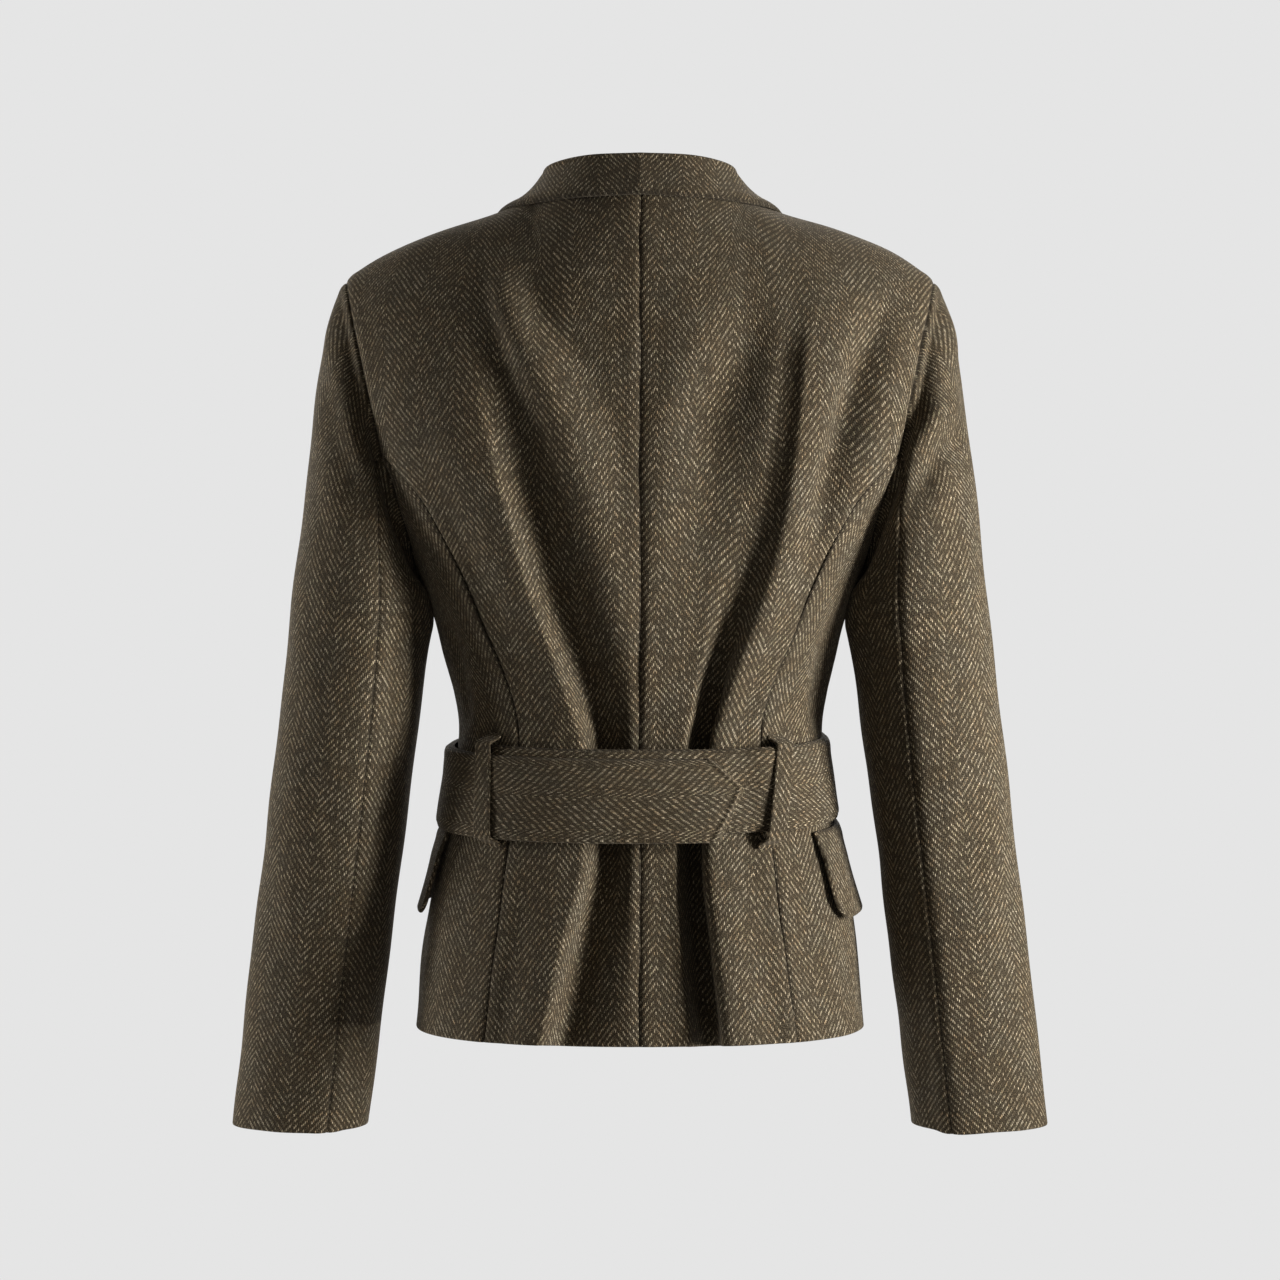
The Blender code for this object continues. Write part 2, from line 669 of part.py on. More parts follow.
def angle_at(x, z):
    """The trunk's angle from the centre back at a signed half width on its back."""
    return math.copysign(1, x) * float(np.arctan2(abs(x), trunk_y(abs(x), z, "back")))


BELT_START = angle_at(BELT_UNDER_END_X, BELT_MIDDLE_Z)
BELT_END = angle_at(BELT_TIP_X, BELT_MIDDLE_Z) - 2 * math.pi
BELT_OUT = BELT_CLEARANCE + BELT_THICK


def belt(c, h):
    """The belt's outer face for c from its under end, round the wearer's right side and the
    front to its pointed end on the back, and h across its width."""
    height = (h - 0.5) * BELT_WIDTH
    tip_depth = trunk_y(abs(BELT_TIP_X), BELT_MIDDLE_Z, "back")
    tip_turn = BELT_TIP_LENGTH / math.hypot(BELT_TIP_X, tip_depth)
    end = BELT_END + tip_turn * np.abs(2 * h - 1)
    angle = mix(BELT_START, end, c)
    full_turn = BELT_END - BELT_START
    to_go = mix(BELT_START, BELT_END, c) - BELT_END
    lap_length = abs(full_turn) - 2 * math.pi + BELT_LAP_FROM
    lapping = ease((lap_length - to_go) / BELT_LAP_RAMP)
    over_front = ease(1 + LAP_TURN - np.abs(angle + math.pi) / LAP_TURN)
    out = BELT_OUT + lapping * (BELT_THICK + BELT_LAYER_GAP) + over_front * LAP_RISE
    return belt_side(angle, height, out)


def belt_loop(side):
    """A loop's outer face, over the belt and down onto the back above and below it."""
    middle = angle_at(LOOP_X[side], BELT_MIDDLE_Z)
    turn = LOOP_WIDTH / math.hypot(LOOP_X[side], trunk_y(LOOP_X[side], BELT_MIDDLE_Z, "back"))

    def surface(c, h):
        angle = middle + (c - 0.5) * turn
        reach = BELT_WIDTH / 2 + LOOP_OVERHANG
        height = mix(-reach, reach, h)
        over = ease((reach - np.abs(height)) / (LOOP_OVERHANG - LOOP_FOOT))
        level = belt_line_z(trunk_ring(angle, BELT_MIDDLE_Z + 0 * angle)[:, 1]) + height
        on_trunk = trunk_ring(angle, level)
        low = on_trunk + level_out(on_trunk) * (SEAM_GAP + LOOP_THICK)
        inside = np.clip(height, -BELT_WIDTH / 2, BELT_WIDTH / 2)
        high = belt_side(angle, inside, BELT_OUT + SEAM_GAP * 2 + LOOP_THICK)
        high[:, 2] = level
        return mix(low, high, over[:, None])

    return surface


def pocket_flap(side):
    """A flap's outer face, moved out from the side of the trunk and lifting towards its edge."""
    middle_z = BELT_MIDDLE_Z - BELT_WIDTH / 2 - FLAP_DEPTH / 2
    rear = angle_at(FLAP_REAR_X[side], middle_z)
    turn = FLAP_LENGTH / float(read(SECTIONS, "half_width", middle_z))

    def surface(c, r):
        along = np.minimum(c, 1 - c) * FLAP_LENGTH
        cut = np.clip(FLAP_CORNER - along, 0, FLAP_CORNER)
        rounding = FLAP_CORNER - np.sqrt(FLAP_CORNER**2 - cut**2)
        angle = rear + turn * c
        belt_y = trunk_ring(angle, BELT_MIDDLE_Z + 0 * angle)[:, 1]
        top_z = belt_line_z(belt_y) - BELT_WIDTH / 2 - FLAP_TOP_GAP
        points = trunk_ring(angle, top_z - (FLAP_DEPTH - rounding) * r)
        return points + level_out(points) * (FLAP_SEAT + FLAP_THICK + FLAP_LIFT * r**2)[:, None]

    return surface


# Building the solids


def spread(count, start=0.0, end=0.0):
    """Even steps from 0 to 1, with a narrow strip added beside an end that meets a seam."""
    steps = list(np.linspace(0, 1, count + 1))
    if start:
        steps.insert(1, start / count)
    if end:
        steps.insert(-1, 1 - end / count)
    return np.array(steps)


def between_seams(count):
    return spread(count, SEAM_STRIP, SEAM_STRIP)


def trunk_rows():
    """Rows from the hem to the chest, and on to the shoulder."""
    above = spread(STEPS["trunk_above_chest"], end=SEAM_STRIP / 2)
    return np.concatenate([spread(STEPS["trunk_below_chest"]), 1 + above[1:]])


def sleeve_rows():
    """Rows from the armhole over the cap and down to the cuff."""
    cap, low = spread(STEPS["cap"]), spread(STEPS["sleeve"])
    return np.concatenate([[0, CAP_EDGE_ROW], cap[1:], 1 + low[1:]])


def collar_rows():
    """Rows up the collar's stand, round its fold and down its fall."""
    fold = STAND_SHARE + (1 - 2 * STAND_SHARE) * spread(STEPS["collar_fold"])
    fall = 1 - STAND_SHARE * (1 - spread(STEPS["fall"]))
    return np.concatenate([STAND_SHARE * spread(STEPS["stand"]), fold[1:-1], fall])


def finish(name, colour, roughness):
    material = bpy.data.materials.new(name)
    material.use_nodes = True
    shader = material.node_tree.nodes["Principled BSDF"]
    shader.inputs["Base Color"].default_value = (*colour, 1.0)
    shader.inputs["Roughness"].default_value = roughness
    shader.inputs["Metallic"].default_value = 0.0
    return material


def cloth(name, surface, columns, rows, wall, flip, mirror=1.0):
    """A wall of cloth: a grid laid on surface(column, row), with its thickness behind it.

    A grid that runs the other way round its surface is flipped, so that its face looks outwards.
    """
    grid = bmesh.new()
    across, up = len(columns) - 1, len(rows) - 1
    bmesh.ops.create_grid(grid, x_segments=across, y_segments=up, size=0.5)
    place = np.array([vertex.co[:2] for vertex in grid.verts]) + 0.5
    i = np.rint(place[:, 0] * across).astype(int)
    j = np.rint(place[:, 1] * up).astype(int)
    points = surface(columns[i], rows[j]) * (mirror, 1.0, 1.0)
    for vertex, point in zip(grid.verts, points):
        vertex.co = point
    if (mirror < 0) != flip:
        bmesh.ops.reverse_faces(grid, faces=grid.faces)
    mesh = bpy.data.meshes.new(name)
    grid.to_mesh(mesh)
    grid.free()
    mesh.shade_smooth()
    piece = bpy.data.objects.new(name, mesh)
    thickness = piece.modifiers.new("wall", "SOLIDIFY")
    thickness.thickness = wall
    thickness.offset = -1.0
    return piece


def button(name, z):
    """A turned button with a raised rim, standing on the front's closing."""
    radius, height = BUTTON_PROFILE["radius"] * BUTTON_RADIUS, BUTTON_PROFILE["height"] * BUTTON_THICK
    outline = [(x, 0.0, z) for x, z in zip(radius, height)]
    mesh = bpy.data.meshes.new(name)
    mesh.from_pydata(outline, [(i, i + 1) for i in range(len(outline) - 1)], [])
    piece = bpy.data.objects.new(name, mesh)
    turn = piece.modifiers.new("turned", "SCREW")
    turn.steps = turn.render_steps = BUTTON_STEPS
    turn.use_merge_vertices = True
    turn.merge_threshold = BUTTON_WELD
    place = np.zeros(1)
    out = front_normal(place, place + z)[0]
    foot = stack(place, front_y(place, place + z) - LAP_RISE, place + z)[0]
    piece.location = Vector(foot) + Vector(out) * BUTTON_SEAT
    piece.rotation_mode = "QUATERNION"
    piece.rotation_quaternion = Vector(out).to_track_quat("Z", "Y")
    return piece


def paired(side):
    """The pieces that each side of the blazer has."""
    back_seam, front_seam = ARMHOLE_SEAM_ANGLE, 2 * math.pi - ARMHOLE_SEAM_ANGLE
    shapes = {
        "back": (back_panel(side), between_seams(STEPS["back"]), trunk_rows(), WALL, True),
        "side": (
            side_panel,
            between_seams(STEPS["side"]),
            spread(STEPS["trunk_below_chest"]),
            WALL,
            True,
        ),
        "front": (front_lap(side), spread(STEPS["front"], end=SEAM_STRIP), trunk_rows(), WALL, False),
        "lapel": (lapel(side), spread(STEPS["lapel_across"]), spread(STEPS["lapel_up"]), WALL, False),
        "upper_sleeve": (
            sleeve_piece(-back_seam, back_seam),
            between_seams(STEPS["upper_sleeve"]),
            sleeve_rows(),
            WALL,
            True,
        ),
        "under_sleeve": (
            sleeve_piece(back_seam, front_seam),
            between_seams(STEPS["under_sleeve"]),
            sleeve_rows(),
            WALL,
            True,
        ),
        "belt_loop": (belt_loop(side), spread(1), spread(STEPS["loop"]), LOOP_THICK, True),
        "pocket_flap": (
            pocket_flap(side),
            spread(STEPS["flap_along"]),
            spread(STEPS["flap_down"]),
            FLAP_THICK,
            False,
        ),
    }
    return [cloth(f"{name}_{side}", *shape, mirror=SIDES[side]) for name, shape in shapes.items()]


def single():
    """The pieces that run across the middle."""
    return [
        cloth("collar", collar, 2 * spread(STEPS["collar_along"]) - 1, collar_rows(), WALL, False),
        cloth("belt", belt, spread(STEPS["belt_along"]), spread(STEPS["belt_across"]), BELT_THICK, False),
    ]


def main():
    for old in list(bpy.data.objects):
        bpy.data.objects.remove(old)
    collection = bpy.data.collections.new("belted_blazer")
    bpy.context.scene.collection.children.link(collection)
    tweed = finish("herringbone_tweed", TWEED_COLOUR, TWEED_ROUGHNESS)
    horn = finish("brown_horn", HORN_COLOUR, HORN_ROUGHNESS)
    sewn = paired("left") + paired("right") + single()
    buttons = [button(f"button_{number}", z) for number, z in enumerate(BUTTON_Z, 1)]
    for material, group in ((tweed, sewn), (horn, buttons)):
        for piece in group:
            piece.data.materials.append(material)
            collection.objects.link(piece)


main()
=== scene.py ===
# %% [markdown]
# # A belted blazer in herringbone tweed
# The blazer stands hollow and open, as if it were being worn, and it is seen from the back.
# A tailor cuts it from flat pieces: two backs, two sides, two fronts, two-piece sleeves, a collar,
# lapels, pocket flaps, a belt and its loops.  We make the same pieces, each as a thin closed wall
# of cloth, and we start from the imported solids, which say where every piece has to be.

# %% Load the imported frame
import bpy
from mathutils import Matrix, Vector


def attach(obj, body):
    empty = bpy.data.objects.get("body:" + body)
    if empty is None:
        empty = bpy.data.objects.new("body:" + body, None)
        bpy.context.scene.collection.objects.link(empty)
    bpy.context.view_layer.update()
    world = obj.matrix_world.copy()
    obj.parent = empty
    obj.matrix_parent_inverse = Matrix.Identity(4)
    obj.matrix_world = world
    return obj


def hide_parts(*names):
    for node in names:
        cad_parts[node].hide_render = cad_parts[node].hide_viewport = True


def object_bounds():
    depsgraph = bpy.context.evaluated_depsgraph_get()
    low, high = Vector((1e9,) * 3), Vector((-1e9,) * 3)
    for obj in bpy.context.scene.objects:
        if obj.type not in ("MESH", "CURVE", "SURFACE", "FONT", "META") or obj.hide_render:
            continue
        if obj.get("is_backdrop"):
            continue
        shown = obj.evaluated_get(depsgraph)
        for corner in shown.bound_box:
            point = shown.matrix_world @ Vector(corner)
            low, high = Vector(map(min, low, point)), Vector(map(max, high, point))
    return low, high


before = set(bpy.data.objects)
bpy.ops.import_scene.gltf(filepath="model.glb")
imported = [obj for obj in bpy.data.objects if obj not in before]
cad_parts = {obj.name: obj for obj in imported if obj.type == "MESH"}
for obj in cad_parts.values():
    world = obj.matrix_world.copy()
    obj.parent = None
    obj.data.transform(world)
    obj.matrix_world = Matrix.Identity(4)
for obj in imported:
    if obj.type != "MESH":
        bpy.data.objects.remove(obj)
cad_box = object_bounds()
print("CAD box in metres:", [tuple(round(n, 4) for n in corner) for corner in cad_box])

# %% Tools
import math

import bpy
import numpy as np
from mathutils import Vector

# %% [markdown]
# ## Reading short tables
# A pattern cutter writes down a few measures at a few heights and draws a fair curve through them.
# We do the same: small tables in millimetres with named columns, read through a cubic that never
# overshoots its rows.  Every helper works on whole arrays, so a piece is computed at all its
# points at once.

# %% Tables and small helpers


def table(names, *rows, plain=()):
    """A short table with named columns, written in millimetres apart from its plain columns."""
    made = np.empty(len(rows), dtype=[(name, float) for name in names])
    for name, column in zip(names, np.array(rows, float).T):
        made[name] = column if name in plain else column / 1000
    return made


def ease(t):
    """Runs from 0 to 1 with level ends: 3 t squared less 2 t cubed."""
    t = np.clip(t, 0.0, 1.0)
    return t * t * (3 - 2 * t)


def bell(t):
    """Runs from 1 at t = 0 down to nothing on both sides: e to the power of minus t squared."""
    return np.exp(-(t**2))


def mix(a, b, t):
    """Straight blend from a (t = 0) to b (t = 1)."""
    return a + (b - a) * t


def smooth(x, knots, values):
    """A cubic through the rows: each inner tangent is the harmonic mean of the slopes beside it."""
    x = np.clip(x, knots[0], knots[-1])
    step = np.diff(knots)
    slope = np.diff(values) / step
    tangent = np.concatenate([slope[:1], np.zeros(len(slope) - 1), slope[-1:]])
    rising = slope[:-1] * slope[1:] > 0
    near, far = 2 * step[1:] + step[:-1], step[1:] + 2 * step[:-1]
    before, after = np.where(rising, slope[:-1], 1.0), np.where(rising, slope[1:], 1.0)
    tangent[1:-1] = np.where(rising, (near + far) / (near / before + far / after), 0.0)
    i = np.clip(np.searchsorted(knots, x, side="right") - 1, 0, len(knots) - 2)
    t = (x - knots[i]) / step[i]
    start, end = t * (1 - t) ** 2, t * t * (t - 1)
    bend = tangent[i] * start + tangent[i + 1] * end
    return mix(values[i], values[i + 1], ease(t)) + step[i] * bend


def read(rows, column, at, key="z"):
    """One column of a table, read smoothly at any level."""
    return smooth(np.asarray(at, float), rows[key], rows[column])


def stack(x, y, z):
    """Three arrays of coordinates as one array of points."""
    return np.stack(np.broadcast_arrays(x, y, z), axis=-1)


def unit(vectors):
    """Vectors brought to length 1."""
    return vectors / np.maximum(np.linalg.norm(vectors, axis=-1, keepdims=True), 1e-9)


def level_out(points):
    """The level way out from the body's middle line at each point."""
    return unit(points * (1.0, 1.0, 0.0))


SIDES = {"left": 1.0, "right": -1.0}
print("Sides and the sign of their x:", SIDES)

# %% [markdown]
# ## The measures of the cut
# These are the driving measures of the solids: the widths and depths of the trunk at nine
# levels, the seams of the side panels, the slope of the shoulder and the oval of the armhole.
# The trunk is a stack of superellipses, which are ovals that can be made squarer, because a
# jacket is flatter across the back than a true ellipse.

# %% Trunk, shoulder and armhole measures
HEM_Z, CHEST_Z = -0.577, -0.180
NECK_HALF_WIDTH, NECK_BACK_Y, NECK_ROOT_Z = 0.080, 0.0665, 0.044
SHOULDER_HALF_WIDTH, SHOULDER_DROP = 0.2056, 0.056
SHOULDER_CROWN, CROWN_PEAK = 0.0077, 4 / 27
ARMHOLE_TOP_Z, ARMHOLE_BOTTOM_Z, ARMHOLE_LEAN = -SHOULDER_DROP, -0.262, 0.225
ARMHOLE_MIDDLE_Z = (ARMHOLE_TOP_Z + ARMHOLE_BOTTOM_Z) / 2
ARMHOLE_HALF_HEIGHT = (ARMHOLE_TOP_Z - ARMHOLE_BOTTOM_Z) / 2
EDGE_PULL = 4

SECTIONS = table(
    ("z", "half_width", "back", "front", "squareness"),
    (-577, 157, 128, 122, 2.3),
    (-520, 152.5, 124, 118, 2.3),
    (-450, 139, 110, 108, 2.3),
    (-400, 130, 98, 100, 2.3),
    (-364, 126.8, 96, 100, 2.3),
    (-322, 135, 101, 107, 2.35),
    (-270, 152, 110, 119, 2.4),
    (-232, 166, 114, 124, 2.6),
    (-180, 185, 116, 122, 3),
    plain=("squareness",),
)
# The last row lies on the leaning plane of the armhole.
SIDE_SEAMS = table(
    ("z", "back_x", "front_x"),
    (-577, 106, 126),
    (-447, 90, 112),
    (-372, 83, 104),
    (-295, 109, 116),
    (-263, 123, 126),
    (-214, 149, 150),
    (-180, 177.7, 177.7),
)
print("Trunk levels:", len(SECTIONS), "- armhole height:", round(2 * ARMHOLE_HALF_HEIGHT, 3), "m")

# %% The trunk's surface


def oval_depth(x, half_width, depth, squareness):
    """A superellipse's depth at half width x: depth (1 - (x / half width)^n)^(1 / n)."""
    share = np.clip(np.abs(x) / half_width, 0.0, 1.0)
    return depth * (1 - share**squareness) ** (1 / squareness)


def trunk_y(x, z, face):
    """The trunk's depth on its back (+) or front (-) at half width x and height z."""
    half_width, squareness = read(SECTIONS, "half_width", z), read(SECTIONS, "squareness", z)
    sign = 1.0 if face == "back" else -1.0
    return sign * oval_depth(x, half_width, read(SECTIONS, face, z), squareness)


def trunk_ring(angle, z):
    """The trunk at an angle from the centre back (0) round the side to the centre front (pi)."""
    half_width, n = read(SECTIONS, "half_width", z), read(SECTIONS, "squareness", z)
    depth = np.where(np.cos(angle) >= 0, read(SECTIONS, "back", z), read(SECTIONS, "front", z))
    across, along = np.abs(np.sin(angle) / half_width), np.abs(np.cos(angle) / depth)
    reach = (across**n + along**n) ** (-1 / n)
    return stack(reach * np.sin(angle), reach * np.cos(angle), z)


def armhole_x(z):
    """Half width of the leaning plane that the armhole lies in: a straight line in z."""
    return SHOULDER_HALF_WIDTH + ARMHOLE_LEAN * (z - ARMHOLE_TOP_Z)


ARMHOLE_SEAM_ANGLE = math.acos((CHEST_Z - ARMHOLE_MIDDLE_Z) / ARMHOLE_HALF_HEIGHT)
ARMHOLE_REACH = {
    face: abs(float(trunk_y(armhole_x(CHEST_Z), CHEST_Z, face))) / math.sin(ARMHOLE_SEAM_ANGLE)
    for face in ("back", "front")
}


def armhole(angle):
    """The armhole's edge: an oval seen from the side, laid on the leaning plane and the trunk."""
    z = ARMHOLE_MIDDLE_Z + ARMHOLE_HALF_HEIGHT * np.cos(angle)
    on_back = np.sin(angle) >= 0
    y = np.sin(angle) * np.where(on_back, ARMHOLE_REACH["back"], ARMHOLE_REACH["front"])
    depth = np.where(on_back, read(SECTIONS, "back", z), read(SECTIONS, "front", z))
    ring_x = oval_depth(y, depth, read(SECTIONS, "half_width", z), read(SECTIONS, "squareness", z))
    return stack(np.where(z > CHEST_Z, armhole_x(z), ring_x), y, z)


def shoulder_seam(share):
    """The shoulder seam from the neck (0) to the tip (1): a slope with a cubic crown on it."""
    x = mix(NECK_HALF_WIDTH, SHOULDER_HALF_WIDTH, share)
    z = -SHOULDER_DROP * share + SHOULDER_CROWN / CROWN_PEAK * share**2 * (1 - share)
    return stack(x, np.zeros_like(x), z)


def ridge_z(x):
    """The shoulder seam's height at half width x, carried on over the neck hole to the centre."""
    t = np.clip(x / NECK_HALF_WIDTH, 0, 1)
    slope = -SHOULDER_DROP / (SHOULDER_HALF_WIDTH - NECK_HALF_WIDTH)
    over_neck = NECK_ROOT_Z * (1 - ease(t)) + slope * NECK_HALF_WIDTH * t * t * (t - 1)
    share = (x - NECK_HALF_WIDTH) / (SHOULDER_HALF_WIDTH - NECK_HALF_WIDTH)
    return np.where(x < NECK_HALF_WIDTH, over_neck, shoulder_seam(share)[..., 2])


def over_shoulder(x, turn, face, roundness):
    """A quarter arc at half width x from the chest up to the shoulder's ridge."""
    z = mix(CHEST_Z, ridge_z(x), np.sin(turn) ** (2 / roundness))
    chest_x = x * armhole_x(CHEST_Z) / armhole_x(z)
    left = np.clip(np.cos(turn), 0, 1) ** (2 / roundness)
    return stack(x, trunk_y(chest_x, CHEST_Z, face) * left, z)


def to_armhole(points, plain_edge, angle, s):
    """Moves a panel's side edge onto the armhole, by s to the fourth power across the panel."""
    return points + (s**EDGE_PULL)[..., None] * (armhole(angle) - plain_edge)


print("Armhole seam angle:", round(math.degrees(ARMHOLE_SEAM_ANGLE), 1), "degrees")

# %% [markdown]
# ## The tweed
# Herringbone is a twill that changes direction every few centimetres, so its slanting lines meet
# in points.  Pale flecks of yarn float over a dark brown ground, each fleck a little different.
# The weave is worked out in the cloth's own metres, stored in a UV map called "cloth", so it
# follows every fold and turns with each cut piece.  A zigzag of the warp's number added to the
# weft's gives the herringbone, and random numbers per fleck keep it from looking printed.

# %% Node helpers


def material(name):
    """A new node material, its node tree and its shader."""
    made = bpy.data.materials.new(name)
    made.use_nodes = True
    return made, made.node_tree, made.node_tree.nodes["Principled BSDF"]


def set_inputs(node, **inputs):
    """Sets a node's inputs, called by name or by number (i0, i1), to constants or outputs."""
    for key, value in inputs.items():
        socket = node.inputs[int(key[1:]) if key[1:].isdigit() else key.replace("_", " ")]
        if isinstance(value, bpy.types.NodeSocket):
            node.id_data.links.new(value, socket)
        else:
            socket.default_value = (*value, 1.0) if socket.type == "RGBA" else value
    return node


def add_node(tree, kind, settings=None, **inputs):
    """One shader node with its settings and its inputs."""
    made = tree.nodes.new(kind)
    for key, value in (settings or {}).items():
        setattr(made, key, value)
    return set_inputs(made, **inputs)


def noise(tree, place, scale, detail, **more):
    """The grey value of a noise."""
    more |= {"Vector": place, "Scale": scale, "Detail": detail}
    return add_node(tree, "ShaderNodeTexNoise", **more).outputs[0]


def calc(tree, operation, *values):
    """One Math node."""
    inputs = {f"i{number}": value for number, value in enumerate(values)}
    return add_node(tree, "ShaderNodeMath", {"operation": operation}, **inputs).outputs[0]


def ramp(tree, value, low, high, start=0.0, end=1.0):
    """A smooth step from start to end, as value runs from low to high."""
    ends = {"From_Min": low, "From_Max": high, "To_Min": start, "To_Max": end}
    settings = {"interpolation_type": "SMOOTHSTEP"}
    return add_node(tree, "ShaderNodeMapRange", settings, Value=value, **ends).outputs["Result"]


def blend(tree, share, first, second, way="MIX"):
    """Two colours mixed by share."""
    settings = {"data_type": "RGBA", "blend_type": way}
    return add_node(tree, "ShaderNodeMix", settings, i0=share, i6=first, i7=second).outputs[2]


def bump(tree, height, strength, distance):
    """A height as a tilt of the surface's normal."""
    inputs = {"Strength": strength, "Distance": distance, "Height": height}
    return add_node(tree, "ShaderNodeBump", **inputs).outputs[0]


# %% Herringbone tweed
WARP_PITCH, WEFT_PITCH = 0.00101, 0.00129
BAND_WARPS, REPEAT, FLOAT_STRETCH = 29, 4, 1.65
BAND = BAND_WARPS * WARP_PITCH
WOBBLE = (0.0013, 0.0016, 0.0)
GROUND_DARK, GROUND_LIGHT = (0.006, 0.0042, 0.0022), (0.086, 0.063, 0.037)
FLECK_BEIGE, FLECK_GREEN = (0.86, 0.705, 0.505), (0.60, 0.510, 0.330)
FLECK_RUST = (0.66, 0.480, 0.300)
TINT_WARM, TINT_COOL, TINT_SHARE = (1.0, 0.97, 0.86), (0.96, 1.0, 0.98), 0.8
# The first colour on the next line is painted shade: the near black blended into the cloth beside seams and
# sewn edges.
PAINTED_SHADE_COLOUR, SHEEN_COLOUR = (0.006, 0.0045, 0.003), (0.80, 0.68, 0.52)
FLOAT_EDGE = (0.05, 0.75)


def peak(tree, value):
    """A tent over one step: 0 at both ends of a unit step and 1 in its middle."""
    from_middle = calc(tree, "ABSOLUTE", calc(tree, "MULTIPLY_ADD", value, 2.0, -1.0))
    return calc(tree, "SUBTRACT", 1.0, from_middle)


def warp_floats(tree, place):
    """Warps float over some two wefts of four, a weft further at each warp, turned at each band."""
    wobble = add_node(tree, "ShaderNodeTexNoise", Vector=place, Scale=110.0, Detail=2.0)
    terms = {"i0": wobble.outputs["Color"], "i1": WOBBLE, "i2": place}
    shift = add_node(tree, "ShaderNodeVectorMath", {"operation": "MULTIPLY_ADD"}, **terms)
    split = add_node(tree, "ShaderNodeSeparateXYZ", Vector=shift.outputs[0]).outputs
    warps = calc(tree, "DIVIDE", split[0], WARP_PITCH)
    warp, across = calc(tree, "FLOOR", warps), peak(tree, calc(tree, "FRACT", warps))
    zigzag = calc(tree, "PINGPONG", warp, float(BAND_WARPS))
    wefts = calc(tree, "ADD", calc(tree, "DIVIDE", split[1], WEFT_PITCH), zigzag)
    repeats = calc(tree, "DIVIDE", wefts, float(REPEAT))
    in_float = calc(tree, "MULTIPLY", calc(tree, "FRACT", repeats), FLOAT_STRETCH)
    along = peak(tree, calc(tree, "MINIMUM", in_float, 1.0))
    cell = add_node(tree, "ShaderNodeCombineXYZ", X=warp, Y=calc(tree, "FLOOR", repeats)).outputs[0]
    chance = add_node(tree, "ShaderNodeTexWhiteNoise", {"noise_dimensions": "2D"}, Vector=cell)
    along, across = (ramp(tree, way, *FLOAT_EDGE) for way in (along, across))
    return calc(tree, "MULTIPLY", along, across), chance.outputs


def herringbone_tweed():
    """Flecks of three yarns over a dark ground, fuzzy and slubbed, with painted shade beside sewn edges."""
    made, tree, shader = material("herringbone_tweed")
    place = add_node(tree, "ShaderNodeUVMap", {"uv_map": "cloth"}).outputs[0]
    floats, chance = warp_floats(tree, place)
    lot = add_node(tree, "ShaderNodeSeparateColor", Color=chance["Color"]).outputs
    fuzz = noise(tree, place, 1500.0, 2.0, Roughness=0.7)
    slub, drift = noise(tree, place, 420.0, 1.0), noise(tree, place, 34.0, 3.0)
    bright = ramp(tree, chance["Value"], -0.10, 1.05)
    vivid = calc(tree, "MULTIPLY", bright, ramp(tree, slub, 0.33, 0.62, 0.45, 1.0))
    pale = calc(tree, "MULTIPLY", floats, vivid)
    shown = calc(tree, "MULTIPLY", pale, ramp(tree, fuzz, 0.36, 0.60, 0.12, 1.0))
    ground = blend(tree, ramp(tree, fuzz, 0.38, 0.65), GROUND_DARK, GROUND_LIGHT)
    yarn = blend(tree, ramp(tree, lot[1], 0.60, 0.80), FLECK_BEIGE, FLECK_GREEN)
    yarn = blend(tree, ramp(tree, lot[2], 0.72, 0.88), yarn, FLECK_RUST)
    tint = blend(tree, ramp(tree, drift, 0.35, 0.65), TINT_WARM, TINT_COOL)
    colour = blend(tree, TINT_SHARE, blend(tree, shown, ground, yarn), tint, "MULTIPLY")
    # Painted shade: the per-point seam shade darkens the colour towards a near black beside seams and sewn
    # edges, where shade falls.
    shade_mask = add_node(tree, "ShaderNodeAttribute", {"attribute_name": "painted_seam_shade"}).outputs["Fac"]
    height = calc(tree, "MULTIPLY_ADD", floats, 0.7, calc(tree, "MULTIPLY", fuzz, 0.5))
    set_inputs(
        shader,
        Base_Color=blend(tree, shade_mask, colour, PAINTED_SHADE_COLOUR),
        Normal=bump(tree, height, 0.5, 0.0007),
        Roughness=ramp(tree, fuzz, 0.3, 0.7, 0.95, 0.82),
        Specular_IOR_Level=0.18,
        Sheen_Weight=0.14,
        Sheen_Roughness=0.45,
        Sheen_Tint=SHEEN_COLOUR,
    )
    return made


TWEED = herringbone_tweed()
print("Tweed:", len(TWEED.node_tree.nodes), "nodes, bands of", round(BAND * 1000, 1), "mm")

# %% [markdown]
# ## A wall of cloth
# Blender could thicken a sheet with its Solidify modifier.  We thicken it ourselves, because then
# the free edges can be rounded over like a turned hem while the sewn edges dive into their seam.
# Each piece starts as a grid of points on its outer face.  The inner face is the same grid moved
# in along the normals, and three rings of points close the edge between the two.

# %% Grid lengths, normals and spacing
SEAM_STEPS = np.array([0.14, 0.34, 0.62])


def normals(grid, facing):
    """The way out at each grid point: the cross product of the steps along its two ways."""
    return facing * unit(np.cross(np.gradient(grid, axis=1), np.gradient(grid, axis=0)))


def lengths(grid):
    """Metres of cloth from the first column along each row, and from the first row upwards."""
    across, along = (np.linalg.norm(np.diff(grid, axis=axis), axis=2) for axis in (1, 0))
    u = np.pad(np.cumsum(across, axis=1), ((0, 0), (1, 0)))
    return u, np.pad(np.cumsum(along, axis=0), ((1, 0), (0, 0)))


def spaced(count, start=False, end=False):
    """Even steps from 0 to 1, with three finer ones beside an end that is sewn or turned."""
    steps = [np.linspace(0, 1, count + 1)]
    steps += [SEAM_STEPS / count] if start else []
    steps += [1 - SEAM_STEPS / count] if end else []
    return np.sort(np.concatenate(steps))


